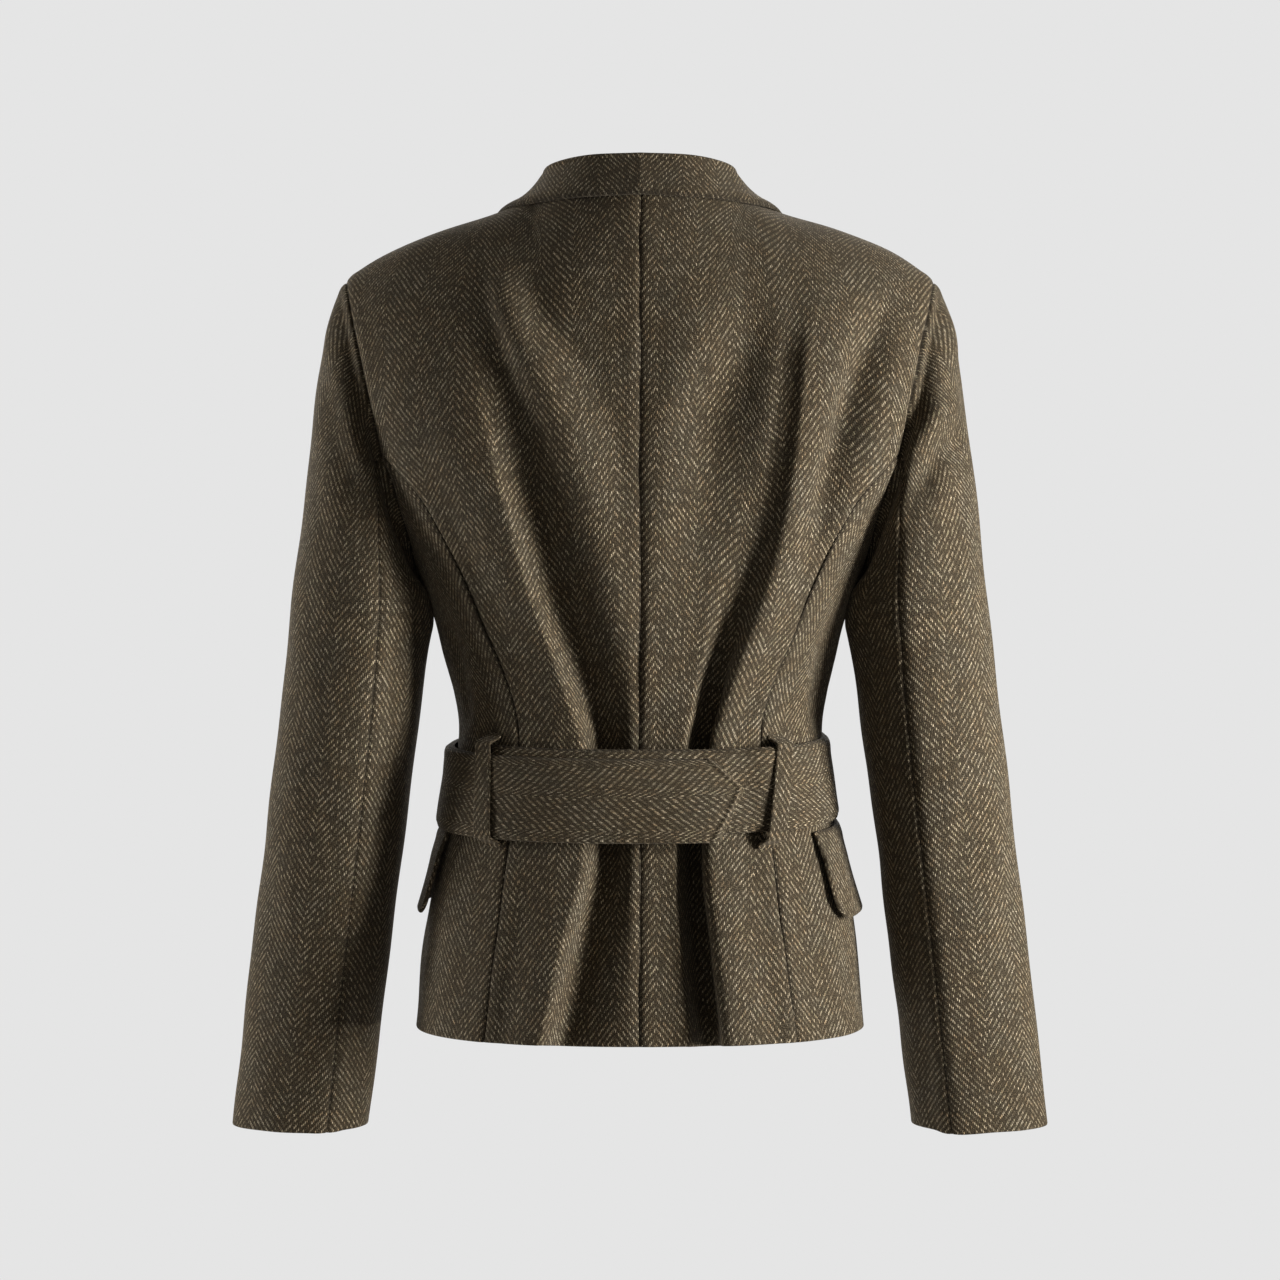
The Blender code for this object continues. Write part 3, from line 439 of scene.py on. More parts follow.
# %% Seams, ripples and creases
SEAM_DIP, SEAM_REACH = 0.0008, 0.0013
SEAM_PUFF, PUFF_AT, PUFF_REACH = 0.0005, 0.0065, 0.0040
WAVES, WAVE_LENGTHS, LAST_PHASE = 6, (0.045, 0.15), 6.3
RIPPLE, PRESSED_RIPPLE, LOOSE_RIPPLE = 0.0004, 0.0003, 0.0005
CREASE = ("x1", "z1", "x2", "z2", "bend", "width", "height")
CREASE_FADE, CREASE_OVERRUN = 0.45, 0.15
LINE = ("z", "x", "inner", "outer", "height")


def to_sides(u, v):
    """How far each point lies from the grid's four sides, in metres of cloth."""
    return {"start": u, "end": u[:, -1:] - u, "low": v, "high": v[-1:] - v}


def seam_relief(u, v, seams):
    """A sewn edge dips in a narrow trough and puffs up a little beside it."""
    relief = np.zeros_like(u)
    for side in seams:
        away = to_sides(u, v)[side]
        relief += SEAM_PUFF * bell((away - PUFF_AT) / PUFF_REACH)
        relief -= SEAM_DIP * bell(away / SEAM_REACH)
    return relief


def ripple(u, v, seed, height):
    """Six long shallow waves, each with its own direction, length and phase."""
    chance = np.random.default_rng(seed)
    heading, wave = chance.uniform(0, math.pi, WAVES), chance.uniform(*WAVE_LENGTHS, WAVES)
    phase = chance.uniform(0, LAST_PHASE, WAVES)
    along = u[..., None] * np.cos(heading) + v[..., None] * np.sin(heading)
    return height * np.sin(along * 2 * math.pi / wave + phase).sum(axis=-1) / 2


def creases(x, z, rows):
    """Soft ridges (height above 0) and troughs along bowed lines, fading out at both ends."""
    relief = np.zeros_like(x)
    for row in rows:
        dx, dz = row["x2"] - row["x1"], row["z2"] - row["z1"]
        long = math.hypot(dx, dz)
        t = ((x - row["x1"]) * dx + (z - row["z1"]) * dz) / long**2
        bow = row["bend"] * 4 * np.clip(t, 0, 1) * (1 - np.clip(t, 0, 1))
        off = ((z - row["z1"]) * dx - (x - row["x1"]) * dz) / long - bow
        fade_in, fade_out = (ease((way + CREASE_OVERRUN) / CREASE_FADE) for way in (t, 1 - t))
        relief += row["height"] * bell(off / row["width"]) * fade_in * fade_out
    return relief


def long_folds(x, z, lines):
    """Upright ridges and troughs: height times a bell of the distance from a line x(z)."""
    relief = np.zeros_like(x)
    for rows in lines:
        off = x - read(rows, "x", z)
        width = np.where(off < 0, read(rows, "inner", z), read(rows, "outer", z))
        relief += read(rows, "height", z) * bell(off / width)
    return relief


print("Seam trough:", SEAM_DIP * 1000, "mm deep")

# %% The mesh of a wall
RIM_TURNS = np.radians([45, 90, 135])


def border(shape):
    """Point numbers round a grid's edge, with the grid side that each belongs to."""
    number = np.arange(shape[0] * shape[1]).reshape(shape)
    runs = {"low": number[0, :-1], "end": number[:-1, -1]}
    runs |= {"high": number[-1, :0:-1], "start": number[:0:-1, 0]}
    sides = np.repeat(list(runs), [len(run) for run in runs.values()])
    return np.concatenate(list(runs.values())), sides


def quads(shape):
    """The four corners of every cell of a grid."""
    number = np.arange(shape[0] * shape[1]).reshape(shape)
    corners = (number[:-1, :-1], number[:-1, 1:], number[1:, 1:], number[1:, :-1])
    return np.stack(corners, axis=-1).reshape(-1, 4)


def wall_faces(shape, edge):
    """Quads of the outer face, of the inner face turned round, and of the strips round the edge."""
    total, count = shape[0] * shape[1], len(edge)
    rings = [2 * total + count * number + np.arange(count) for number in range(len(RIM_TURNS))]
    loops = [edge, *rings, total + edge]
    strips = [
        np.stack([a, b, np.roll(b, -1), np.roll(a, -1)], axis=-1) for a, b in zip(loops, loops[1:])
    ]
    return np.concatenate([quads(shape), quads(shape)[:, ::-1] + total, *strips])


def cut_area(grid):
    """The outer face's area: half the diagonals' cross product, cell by cell."""
    one, other = grid[1:, 1:] - grid[:-1, :-1], grid[1:, :-1] - grid[:-1, 1:]
    return float(np.linalg.norm(np.cross(one, other), axis=-1).sum() / 2)


def put_in_scene(name, points, faces, uv, shade, finish):
    """A smooth mesh object at the origin, from arrays of points, quads, UV and painted seam shade."""
    mesh = bpy.data.meshes.new(name)
    mesh.vertices.add(len(points))
    mesh.vertices.foreach_set("co", points.ravel())
    mesh.loops.add(faces.size)
    mesh.loops.foreach_set("vertex_index", faces.ravel())
    mesh.polygons.add(len(faces))
    mesh.polygons.foreach_set("loop_start", np.arange(0, faces.size, 4))
    mesh.update(calc_edges=True)
    mesh.uv_layers.new(name="cloth").data.foreach_set("uv", uv[faces.ravel()].ravel())
    mesh.attributes.new("painted_seam_shade", "FLOAT", "POINT").data.foreach_set("value", shade)
    mesh.validate()
    mesh.shade_smooth()
    mesh.materials.append(finish)
    piece = bpy.data.objects.new(name, mesh)
    bpy.context.scene.collection.objects.link(piece)
    return piece


# %% Closing a wall and saying how it was cut
WALL, SEAM_OVERLAP = 0.0020, 0.0006
# SHADE and SHADE_REACH: how dark the painted shade beside sewn edges is, and how far from the edge it fades.
SHADE, SHADE_REACH = 0.50, 0.0009


def sew(
    node, grid, facing, relief, seams=(), mirror=1.0, wall=WALL,
    weave=lambda u, v: (u, v), line=SHADE_REACH, overlap=SEAM_OVERLAP,
):
    """Closes a grid into a wall of cloth, hides the solid it stands for and prints how it was cut."""
    u, v = lengths(grid)
    out = normals(grid, facing)
    outer = grid + out * (relief + seam_relief(u, v, seams))[..., None]
    edge, side = border(u.shape)
    along, across = unit(np.gradient(grid, axis=0)), unit(np.gradient(grid, axis=1))
    ways = {"low": -along, "high": along, "start": -across, "end": across}
    away = sum(
        np.where((side == name)[:, None], way.reshape(-1, 3)[edge], 0) for name, way in ways.items()
    )
    sewn = np.where(side == "low", overlap, SEAM_OVERLAP)
    bulge = np.where(np.isin(side, seams), sewn, wall / 2)[:, None]
    at = (outer - out * wall / 2).reshape(-1, 3)[edge]
    up, aside = out.reshape(-1, 3)[edge] * wall / 2, away * bulge
    rings = [at + up * math.cos(turn) + aside * math.sin(turn) for turn in RIM_TURNS]
    points = np.concatenate([outer.reshape(-1, 3), (outer - out * wall).reshape(-1, 3), *rings])
    cloth_uv = np.stack(np.broadcast_arrays(*weave(u, v)), axis=-1).reshape(-1, 2)
    rim_uv = [cloth_uv[edge] + wall * turn / 3 for turn in RIM_TURNS]
    uv = np.concatenate([cloth_uv, cloth_uv, *rim_uv])
    # Painted shade: points near the sewn sides get a darkness that the tweed blends into its colour, for the
    # shade in the seams.
    near = [bell(to_sides(u, v)[name] / line) for name in seams]
    dark = SHADE * np.max([0 * u, *near], axis=0).ravel()
    shade = np.concatenate([dark, dark, *[dark[edge]] * len(RIM_TURNS)])
    faces = wall_faces(u.shape, edge)
    faces = faces if facing * mirror > 0 else faces[:, ::-1]
    piece = put_in_scene(f"{node}_cloth", points * (mirror, 1.0, 1.0), faces, uv, shade, TWEED)
    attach(piece, "root")
    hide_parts(node)
    flat, area = (float(u.max()), float(v.max())), cut_area(grid)
    cut = f"{flat[0]:.3f} x {flat[1]:.3f} m, {area:.4f} m2"
    print(f"{piece.name}: {2 * len(faces)} triangles, cut {cut}")


# %% [markdown]
# ## The back panels
# The belt gathers the back into two deep folds beside the centre seam.  Above the chest they
# are soft waves; near the belt and below it the cloth doubles under itself, so a rolled lip
# stands over a dark gap.  At each level the section is drawn in three stretches: from the centre
# seam to the fold's floor, a Bezier S whose handles may overlap, and the plain outer part.
# Long handles make the S fold back under itself, and short ones leave a soft wave.

# %% The folds of the back
FOLD_COLUMNS = (
    "z", "centre", "rest", "hump_x", "hump", "run", "shelf", "plunge",
    "floor_x", "crest_x", "pull", "deep", "rise",
)
FOLDS = {
    "left": table(
        FOLD_COLUMNS,
        (-577, 16, 0, 6, 16, 1, 27, 13, 49, 69, 10, 29, 3),
        (-512, 15, 0, 4, 15, 1, 26, 13, 35.5, 55, 10, 28, 2),
        (-450, 12, 0, 3, 12, 1, 24, 13, 23, 41, 10, 26, 0),
        (-377, 10, 0, 3, 10, 1, 22, 13, 26, 42, 7, 24, 0),
        (-361, 9.5, 0, 3.5, 9.5, 1, 21, 13, 30, 46.5, 7, 23, 1),
        (-321, 8, 0, 8, 7, 1, 19, 13, 41.5, 60.5, 7, 21, 2),
        (-281, 7, 0, 16.5, 3.5, 1, 17, 13, 56, 75.5, 7, 19, 3),
        (-240, 7, 0.05, 26.5, 1.5, 1, 15, 13, 67, 87, 7, 17, 3),
        (-200, 7, 0.15, 40, -3, 1, 12, 13, 78, 98, 7, 12, 3),
        (-180, 7, 0.25, 47.5, -5, 1, 9, 13, 82, 103, 7, 9, 3),
        (-160, 7, 0.3, 55, -7, 1, 6, 13, 86, 108, 7, 6, 2),
        (-120, 7, 0.48, 75, -9, 1, 2, 13, 96, 116, 8, 2, 1),
        (-80, 3, 0.74, 92, -5, 1, 0, 13, 108, 128, 8, 0, 0),
        (-45, 0, 0.8, 102, 0, 1, 0, 13, 115, 135, 8, 0, 0),
        plain=("rest", "run"),
    ),
    "right": table(
        FOLD_COLUMNS,
        (-577, 16, 0, 11, 16, 1, 18, 13, 45, 63, 21, 42, 3),
        (-512, 15, 0, 8, 15, 1, 16.5, 13, 39, 56.5, 21, 42, 2),
        (-450, 12, 0, 6, 12, 1, 14, 13, 34.5, 51, 20, 38, 0),
        (-377, 10, 0, 5, 10, 0.9, 7.5, 10, 39.5, 55, 19, 26, 0),
        (-361, 9.5, 0, 4, 9, 0.85, 7, 10, 43, 59, 19, 22, 2),
        (-321, 8, 0, 4, 6, 0.75, 9, 10, 51, 73.5, 18, 17, 5),
        (-281, 7, 0, 7, 5.8, 0.64, 10.5, 14, 61, 88, 16, 13, 6),
        (-240, 7, 0, 9, 5.8, 0.53, 13, 28, 73, 98.5, 12, 10.5, 5),
        (-200, 7, 0, 13, 5.5, 0.52, 15, 34, 83, 105, 8, 9, 3),
        (-180, 7, 0, 13.5, 5.5, 0.5, 16, 36, 86, 107, 7, 7.5, 3),
        (-160, 7, 0, 14, 5.5, 0.48, 17, 38, 89, 109, 7, 6, 3),
        (-120, 7, 0, 30, 4.5, 0.58, 14, 30, 95, 113, 6, 6, 2),
        (-80, 3, 0, 45, 0, 0.6, 3, 20, 100, 120, 7, 2, 0),
        (-45, 0, 0, 50, 0, 0.7, 0, 20, 105, 125, 7, 0, 0),
        plain=("rest", "run"),
    ),
}
HEM_LEVEL, HEM_REACH = 0.12, 0.060
FLOOR_SHARE, CREST_SHARE, RISE_SHARE = 0.32, 0.62, 0.7
NECK_SHARE = {"left": 0.24, "right": 0.20}
SHOULDER_ROUNDNESS = 2.0


def fold_depth(x, t, outer, z, side):
    """Depth behind the plain trunk: eased steps to the floor, then up the wall by its share t."""
    at = {name: read(FOLDS[side], name, z) for name in FOLD_COLUMNS[1:]}
    inwards = ease((at["hump_x"] - x) / ((1 - at["rest"]) * at["hump_x"]))
    outwards = ease((x - at["hump_x"]) / (at["run"] * (at["floor_x"] - at["hump_x"])))
    down = ease((x - at["floor_x"]) / at["plunge"] + 1)
    to_centre = mix(at["hump"], at["centre"], inwards)
    to_floor = mix(mix(at["hump"], at["shelf"], outwards), at["deep"], down)
    inner = np.where(x < at["hump_x"], to_centre, to_floor)
    lift = at["rise"] * ease(2 * t - 1) * (1 - ease(outer / RISE_SHARE))
    return np.where(t <= 0, inner, at["deep"] * (1 - ease(t))) - lift


def fold_section(s, z, side):
    """Half width and depth across the back: floor, Bezier S up to the crest, and outer part."""
    floor, crest, pull = (read(FOLDS[side], name, z) for name in ("floor_x", "crest_x", "pull"))
    inner = np.clip(s / FLOOR_SHARE, 0, 1)
    outer = np.clip((s - CREST_SHARE) / (1 - CREST_SHARE), 0, 1)
    t = np.clip((s - FLOOR_SHARE) / (CREST_SHARE - FLOOR_SHARE), 0, 1)
    first, second, third, last = (1 - t) ** 3, 3 * t * (1 - t) ** 2, 3 * t * t * (1 - t), t**3
    s_x = floor * first + (floor + pull) * second + (crest - pull) * third + crest * last
    outside = mix(crest, read(SIDE_SEAMS, "back_x", z), outer)
    x = np.where(s < FLOOR_SHARE, floor * inner, np.where(s < CREST_SHARE, s_x, outside))
    return x, fold_depth(x, t, outer, z, side)


def soft_fold(x, z, side):
    """The same depth above the chest, where the wall is a plain eased slope in x."""
    floor, crest = read(FOLDS[side], "floor_x", z), read(FOLDS[side], "crest_x", z)
    t = np.clip((x - floor) / (crest - floor), 0, 1)
    return fold_depth(x, t, np.clip((x - crest) / (armhole_x(z) - crest), 0, 1), z, side)


def neck_top_x(s, side):
    """Half width along the panel's top: a quarter sine round the neck, then the shoulder seam."""
    share = NECK_SHARE[side]
    round_neck = NECK_HALF_WIDTH * np.sin(np.clip(s / share, 0, 1) * math.pi / 2)
    on_seam = shoulder_seam(np.clip((s - share) / (1 - share), 0, 1))[..., 0]
    return np.where(s < share, round_neck, on_seam)


def back_above_chest(s, t, side):
    """Arcs from the chest to the neck and shoulder, each stopped where it meets the neck's edge."""
    top = neck_top_x(s, side)
    x = mix(fold_section(s, CHEST_Z + 0 * s, side)[0], top, t)
    neck_y = NECK_BACK_Y * np.sqrt(1 - np.clip(top / NECK_HALF_WIDTH, 0, 1) ** 2)
    at_neck = over_shoulder(top, 0 * s, "back", SHOULDER_ROUNDNESS)[..., 1]
    reach = np.arccos(np.clip(neck_y / np.maximum(at_neck, neck_y + WALL), 0, 1))
    return over_shoulder(x, t * reach, "back", SHOULDER_ROUNDNESS)


def back_panel(side, s, v):
    """The back for s from centre seam to side and v from hem (0) over chest (1) to top (2)."""
    low_z = mix(HEM_Z, CHEST_Z, np.clip(v, 0, 1))
    x = fold_section(s, low_z, side)[0]
    low = stack(x, trunk_y(x, low_z, "back"), low_z)
    t = np.clip(v - 1, 0, 1)
    edge = back_above_chest(1 + 0 * s, t, side)
    high = to_armhole(back_above_chest(s, t, side), edge, ARMHOLE_SEAM_ANGLE * (1 - t), s)
    points = np.where((v <= 1)[..., None], low, high)
    soft = soft_fold(points[..., 0], points[..., 2], side)
    depth = np.where(v <= 1, fold_section(s, points[..., 2], side)[1], soft)
    points[..., 1] -= depth
    points[..., 2] -= HEM_LEVEL * depth * ease((HEM_Z + HEM_REACH - points[..., 2]) / HEM_REACH)
    return points


print("Fold levels:", {side: len(rows) for side, rows in FOLDS.items()})

# %% The creases of the back, and both panels
BACK_LINES = {
    "left": (
        table(
            LINE,
            (-360, 80, 10, 12, 0),
            (-300, 100, 12, 12, -1.8),
            (-220, 132, 12, 12, -2.2),
            (-150, 152, 12, 12, 0),
        ),
        table(
            LINE,
            (-575, 96, 12, 12, -2),
            (-500, 82, 12, 12, -2.2),
            (-440, 70, 10, 10, -1),
        ),
    ),
    "right": (
        table(
            LINE,
            (-310, 110, 10, 10, 0),
            (-281, 115.5, 10, 9, -1),
            (-240, 122.5, 12, 9, -5.5),
            (-200, 133.5, 14, 11, -15),
            (-160, 145.5, 15, 13, -19),
            (-120, 156, 15, 13, -16),
            (-85, 167, 14, 12, -6.5),
            (-60, 180, 12, 10, 0),
        ),
        table(
            LINE,
            (-575, 90, 12, 12, -1.8),
            (-500, 80, 12, 12, -2),
            (-440, 72, 10, 10, -0.8),
        ),
    ),
}
INNER_FROM_Z, INNER_FADE = -0.30, 0.08
WALL_TOP_SHARE, WALL_TOP_FADE = 0.52, 0.10
BACK_POINT = {"left": 0.0176, "right": 0.0108}
BACK_SEED = {"left": 11, "right": 12}
BACK_ROWS = np.concatenate([spaced(170, start=True), 1 + spaced(70, end=True)[1:]])
for side, mirror in SIDES.items():
    s, level = np.meshgrid(spaced(112, True, True), BACK_ROWS)
    grid = back_panel(side, s, level)
    x, z = grid[..., 0], grid[..., 2]
    inside = ease((z - INNER_FROM_Z) / INNER_FADE)
    outside = ease((s - WALL_TOP_SHARE) / WALL_TOP_FADE)
    relief = long_folds(x, z, BACK_LINES[side]) * np.where(s < FLOOR_SHARE, inside, outside)
    relief += ripple(*lengths(grid), BACK_SEED[side], RIPPLE)
    sew(
        f"back_{side}", grid, -1.0, relief,
        seams=("start", "end", "high"), mirror=mirror, weave=lambda u, v: (u - BACK_POINT[side], v),
    )

# %% [markdown]
# ## The side panels
# A narrow panel under each arm joins back and front, and its seams draw the waist in.
# It is the trunk's oval between two angles, bent at its top onto the lower part of the armhole.
# The belt pushes a few upright creases into it.

# %% Side panels


def between_seams(c, z):
    """The trunk's angle for c from the back side seam (0) to the front one (1) at height z."""
    edges = [(read(SIDE_SEAMS, f"{face}_x", z), face) for face in ("back", "front")]
    return mix(*[np.arctan2(x, trunk_y(x, z, face)) for x, face in edges], c)


def side_panel(c, r):
    """The trunk between its two side seams for c across, and r from the hem to the armhole."""
    top = armhole(mix(ARMHOLE_SEAM_ANGLE, 2 * math.pi - ARMHOLE_SEAM_ANGLE, c))
    z = mix(HEM_Z, top[..., 2], r)
    lean_in = np.arctan2(top[..., 0], top[..., 1]) - between_seams(c, top[..., 2])
    return trunk_ring(between_seams(c, z) + lean_in * r**EDGE_PULL, z)


SIDE_CREASES = table(
    CREASE,
    (50, -290, 35, -368, 3, 9, -2),
    (15, -300, 8, -368, 2, 10, 1.8),
    (-30, -295, -22, -368, -2, 9, -2),
    (60, -445, 75, -560, 3, 12, 1.6),
    (20, -500, 28, -575, 2, 12, -1.4),
    (-45, -500, -55, -575, 2, 12, 1.4),
)
SIDE_POINT = -0.006
SIDE_SEED = {"left": 21, "right": 22}
for side, mirror in SIDES.items():
    c, r = np.meshgrid(spaced(44, True, True), spaced(170, end=True))
    grid = side_panel(c, r)
    relief = creases(grid[..., 1], grid[..., 2], SIDE_CREASES)
    relief += ripple(*lengths(grid), SIDE_SEED[side], RIPPLE)
    sew(
        f"side_{side}", grid, -1.0, relief,
        seams=("start", "end", "high"), mirror=mirror, weave=lambda u, v: (u - SIDE_POINT, v),
    )

# %% [markdown]
# ## The fronts and lapels
# The fronts lap at the middle, the right one over the left, and turn over as lapels along a
# straight roll line.  The lapel is cut in one with the front on a real jacket; here it is its own
# wall that curls round the front's edge, so the roll looks unbroken from both sides.

# %% Fronts
BREAK_Z = -0.330
FRONT_LAP, LAP_RISE, LAP_RAMP = 0.020, 0.0028, 0.050
CROSSING_Z = BREAK_Z * NECK_HALF_WIDTH / (NECK_HALF_WIDTH + FRONT_LAP)
CHEST_ROUNDNESS = 1.75
FIT_ROUNDS = 4


def roll_x(z):
    """The roll line seen from the front: straight from the closing to the neck."""
    return mix(-FRONT_LAP, NECK_HALF_WIDTH, (z - BREAK_Z) / -BREAK_Z)


def chest_roundness(s):
    """The front leans back flatter beside the neck than at the armhole."""
    return mix(CHEST_ROUNDNESS, SHOULDER_ROUNDNESS, ease(s))


def front_above_chest(share, t):
    """Arcs from chest to shoulder, fitted in rounds between the roll line and the armhole."""
    turn, roundness = t * math.pi / 2, chest_roundness(share)
    x = mix(roll_x(CHEST_Z), armhole_x(CHEST_Z), share)
    for _ in range(FIT_ROUNDS):
        z = mix(CHEST_Z, ridge_z(x), np.sin(turn) ** (2 / roundness))
        x = mix(roll_x(z), armhole_x(z), share)
    return over_shoulder(x, turn, "front", roundness)


def front_panel(s, v):
    """The front for s from its edge or roll line to the side, v from hem over chest to shoulder."""
    low_z = mix(HEM_Z, CHEST_Z, np.clip(v, 0, 1))
    inner_x = np.where(low_z < BREAK_Z, -FRONT_LAP, roll_x(low_z))
    x = mix(inner_x, read(SIDE_SEAMS, "front_x", low_z), s)
    low = stack(x, trunk_y(x, low_z, "front"), low_z)
    t = np.clip(v - 1, 0, 1)
    angle = 2 * math.pi - ARMHOLE_SEAM_ANGLE * (1 - t)
    high = to_armhole(front_above_chest(s, t), front_above_chest(1 + 0 * s, t), angle, s)
    return np.where((v <= 1)[..., None], low, high)


def lap_rise(x, z, side):
    """How far the right front stands out where it laps over the left one."""
    if side == "left":
        return 0 * x
    across = ease((FRONT_LAP + LAP_RAMP - x) / LAP_RAMP)
    return LAP_RISE * across * ease((CROSSING_Z + LAP_RAMP - z) / LAP_RAMP)


FRONT_CREASES = table(
    CREASE,
    (115, -215, 60, -360, 4, 12, 2.2),
    (135, -240, 90, -365, 4, 10, -2.4),
    (80, -290, 40, -368, 3, 9, -1.8),
    (35, -310, 15, -368, 2, 8, 1.4),
    (155, -120, 110, -190, 3, 10, -1.8),
    (45, -445, 55, -560, 3, 12, 1.8),
    (75, -445, 92, -560, 3, 10, -1.8),
    (15, -450, 18, -550, 2, 10, -1),
)
FRONT_CREASE_SHIFT = {"left": 0.0, "right": 0.006}
FRONT_CALM = 0.05
FRONT_SEED = {"left": 31, "right": 32}
FRONT_ROWS = np.concatenate([spaced(140, start=True), 1 + spaced(56, end=True)[1:]])
for side, mirror in SIDES.items():
    s, level = np.meshgrid(spaced(58, True, True), FRONT_ROWS)
    grid = front_panel(s, level)
    grid[..., 1] -= lap_rise(grid[..., 0], grid[..., 2], side)
    relief = creases(grid[..., 0] + FRONT_CREASE_SHIFT[side], grid[..., 2], FRONT_CREASES)
    relief += ripple(*lengths(grid), FRONT_SEED[side], RIPPLE)
    relief *= ease(grid[..., 0] / FRONT_CALM)
    sew(
        f"front_{side}", grid, 1.0, relief,
        seams=("end", "high"), mirror=mirror,
    )

# %% Lapels
NUDGE = 5e-4
GORGE_Z, GORGE_PULL = -0.0420, 6
NOTCH_XZ, NOTCH_SHARE = (0.097, -0.0590), 0.55
LAPEL_POINT_XZ = (0.130, -0.0800)
LAPEL_BELLY, LAPEL_LIFT, LAPEL_TURN = 0.010, 0.0010, 0.0010
LAPEL_END_WIDTH, LAPEL_CALM = 0.004, 0.02
LAPEL_ROLL, LAPEL_ROLL_SHARE = 0.0040, 0.20
LAPEL_POINT, LAPEL_SEED = 0.01, 41
LAPEL_START_Z = {"left": -0.280, "right": BREAK_Z}


def front_y(x, z):
    """The front's depth at half width x and height z, apart from the pull of the armhole."""
    roundness = chest_roundness((x - roll_x(z)) / (armhole_x(z) - roll_x(z)))
    up = np.clip((z - CHEST_Z) / (ridge_z(x) - CHEST_Z), 0, 1)
    upper = over_shoulder(x, np.arcsin(up ** (roundness / 2)), "front", roundness)[..., 1]
    return np.where(z < CHEST_Z, trunk_y(x, z, "front"), upper)


def front_normal(x, z):
    """The way out of the front, from its slopes in x and z."""
    by_x = (front_y(x + NUDGE, z) - front_y(x - NUDGE, z)) / (2 * NUDGE)
    by_z = (front_y(x, z + NUDGE) - front_y(x, z - NUDGE)) / (2 * NUDGE)
    return unit(stack(by_x, -np.ones_like(by_x), by_z))


def lapel_outline(side, a, b):
    """Seen from the front: from the roll line to a bellied edge, bent at the top to the notch."""
    start_z = LAPEL_START_Z[side]
    roll_z, edge_z = mix(start_z, GORGE_Z, b), mix(start_z, LAPEL_POINT_XZ[1], b)
    share = (edge_z - BREAK_Z) / (LAPEL_POINT_XZ[1] - BREAK_Z)
    edge_x = mix(-FRONT_LAP, LAPEL_POINT_XZ[0], share) + LAPEL_BELLY * np.sin(math.pi * share)
    start_x = roll_x(roll_z) + LAPEL_TURN
    if side == "left":
        start_x = np.maximum(start_x, LAPEL_TURN - roll_x(roll_z))
    edge_x = np.maximum(edge_x, start_x + LAPEL_END_WIDTH)
    roll, free = np.stack([start_x, roll_z]), np.stack([edge_x, edge_z])
    notch = np.array(NOTCH_XZ)[:, None, None]
    to_notch, past_notch = a / NOTCH_SHARE, (a - NOTCH_SHARE) / (1 - NOTCH_SHARE)
    bent = np.where(a < NOTCH_SHARE, mix(roll, notch, to_notch), mix(notch, free, past_notch))
    return mix(mix(roll, free, a), bent, b**GORGE_PULL)


def lapel(side, a, b):
    """The lapel for a from the roll line to its free edge and b from the break to the gorge."""
    x, z = lapel_outline(side, a, b)
    roll = LAPEL_ROLL * b * a / LAPEL_ROLL_SHARE * np.exp(1 - a / LAPEL_ROLL_SHARE)
    lift = WALL + LAPEL_LIFT + lap_rise(x, z, side) + roll
    return stack(x, front_y(x, z), z) + front_normal(x, z) * lift[..., None]


for side, mirror in SIDES.items():
    a, b = np.meshgrid(spaced(40, end=True), spaced(90, True, True))
    grid = lapel(side, a, b)
    u, v = lengths(grid)
    relief = ripple(u, v, LAPEL_SEED, PRESSED_RIPPLE) * ease(u / LAPEL_CALM)
    sew(
        f"lapel_{side}", grid, 1.0, relief,
        mirror=mirror, weave=lambda u, v: (u - LAPEL_POINT, v),
    )

# %% [markdown]
# ## The collar
# The collar stands up from the neck, folds over and falls onto the back.  It is one strip carried
# along the neckline: a straight stand, half a circle for the fold, and a fall that bows a little.
# Guide rows give the fold and the free edge from the centre back to the front end.  The free edge stands off
# the cloth by a millimetre, as a pressed edge does, and a wider band of painted shade darkens it and the neck
# seam, standing in for the shadow under the fall.

# %% Collar
COLLAR_GUIDES = table(
    ("u", "fold_x", "fold_y", "fold_z", "edge_x", "edge_y", "edge_z", "bow", "inset", "rise"),
    (0, 0, 53, 23.8, 0, 78.5, -4, 1, 2.2, -0.4),
    (0.2, 29, 48.5, 23.5, 36, 71.5, -4.5, 0.5, 2.2, -0.4),
    (0.4, 51, 33, 22.5, 68, 49, -4.5, -0.5, 3.6, 0.3),
    (0.6, 64.5, 6, 20.5, 95, 8, -4.2, -2.5, 3.6, 0.3),
    (0.8, 67, -28, 6, 106, -40, -14, -1, 3.6, 0.3),
    (1, 65, -72, -34, 109, -85, -58, 1, 6.6, 0.3),
    plain=("u",),
)
COLLAR_SHOULDER_SHARE, STAND_SHARE = 0.60, 0.36
COLLAR_FOLD_RADIUS = 0.0036
COLLAR_EDGE_LIFT, COLLAR_EDGE_SHADE_REACH = 0.0010, 0.0024
COLLAR_LIFT_FROM, COLLAR_CALM, COLLAR_SEED = 0.70, 0.1, 51


def neck_line(u):
    """The neck's edge, from the centre back over the shoulder seam down to the lapel."""
    to_seam = np.clip(u / COLLAR_SHOULDER_SHARE, 0, 1)
    on_back = back_panel("left", NECK_SHARE["left"] * to_seam, 2 + 0 * u)
    gorge_turn = math.asin((1 - GORGE_Z / CHEST_Z) ** (CHEST_ROUNDNESS / 2)) / (math.pi / 2)
    share = np.clip((u - COLLAR_SHOULDER_SHARE) / (1 - COLLAR_SHOULDER_SHARE), 0, 1)
    on_front = front_panel(0 * u, 1 + mix(1, gorge_turn, share))
    return np.where((u < COLLAR_SHOULDER_SHARE)[..., None], on_back, on_front)


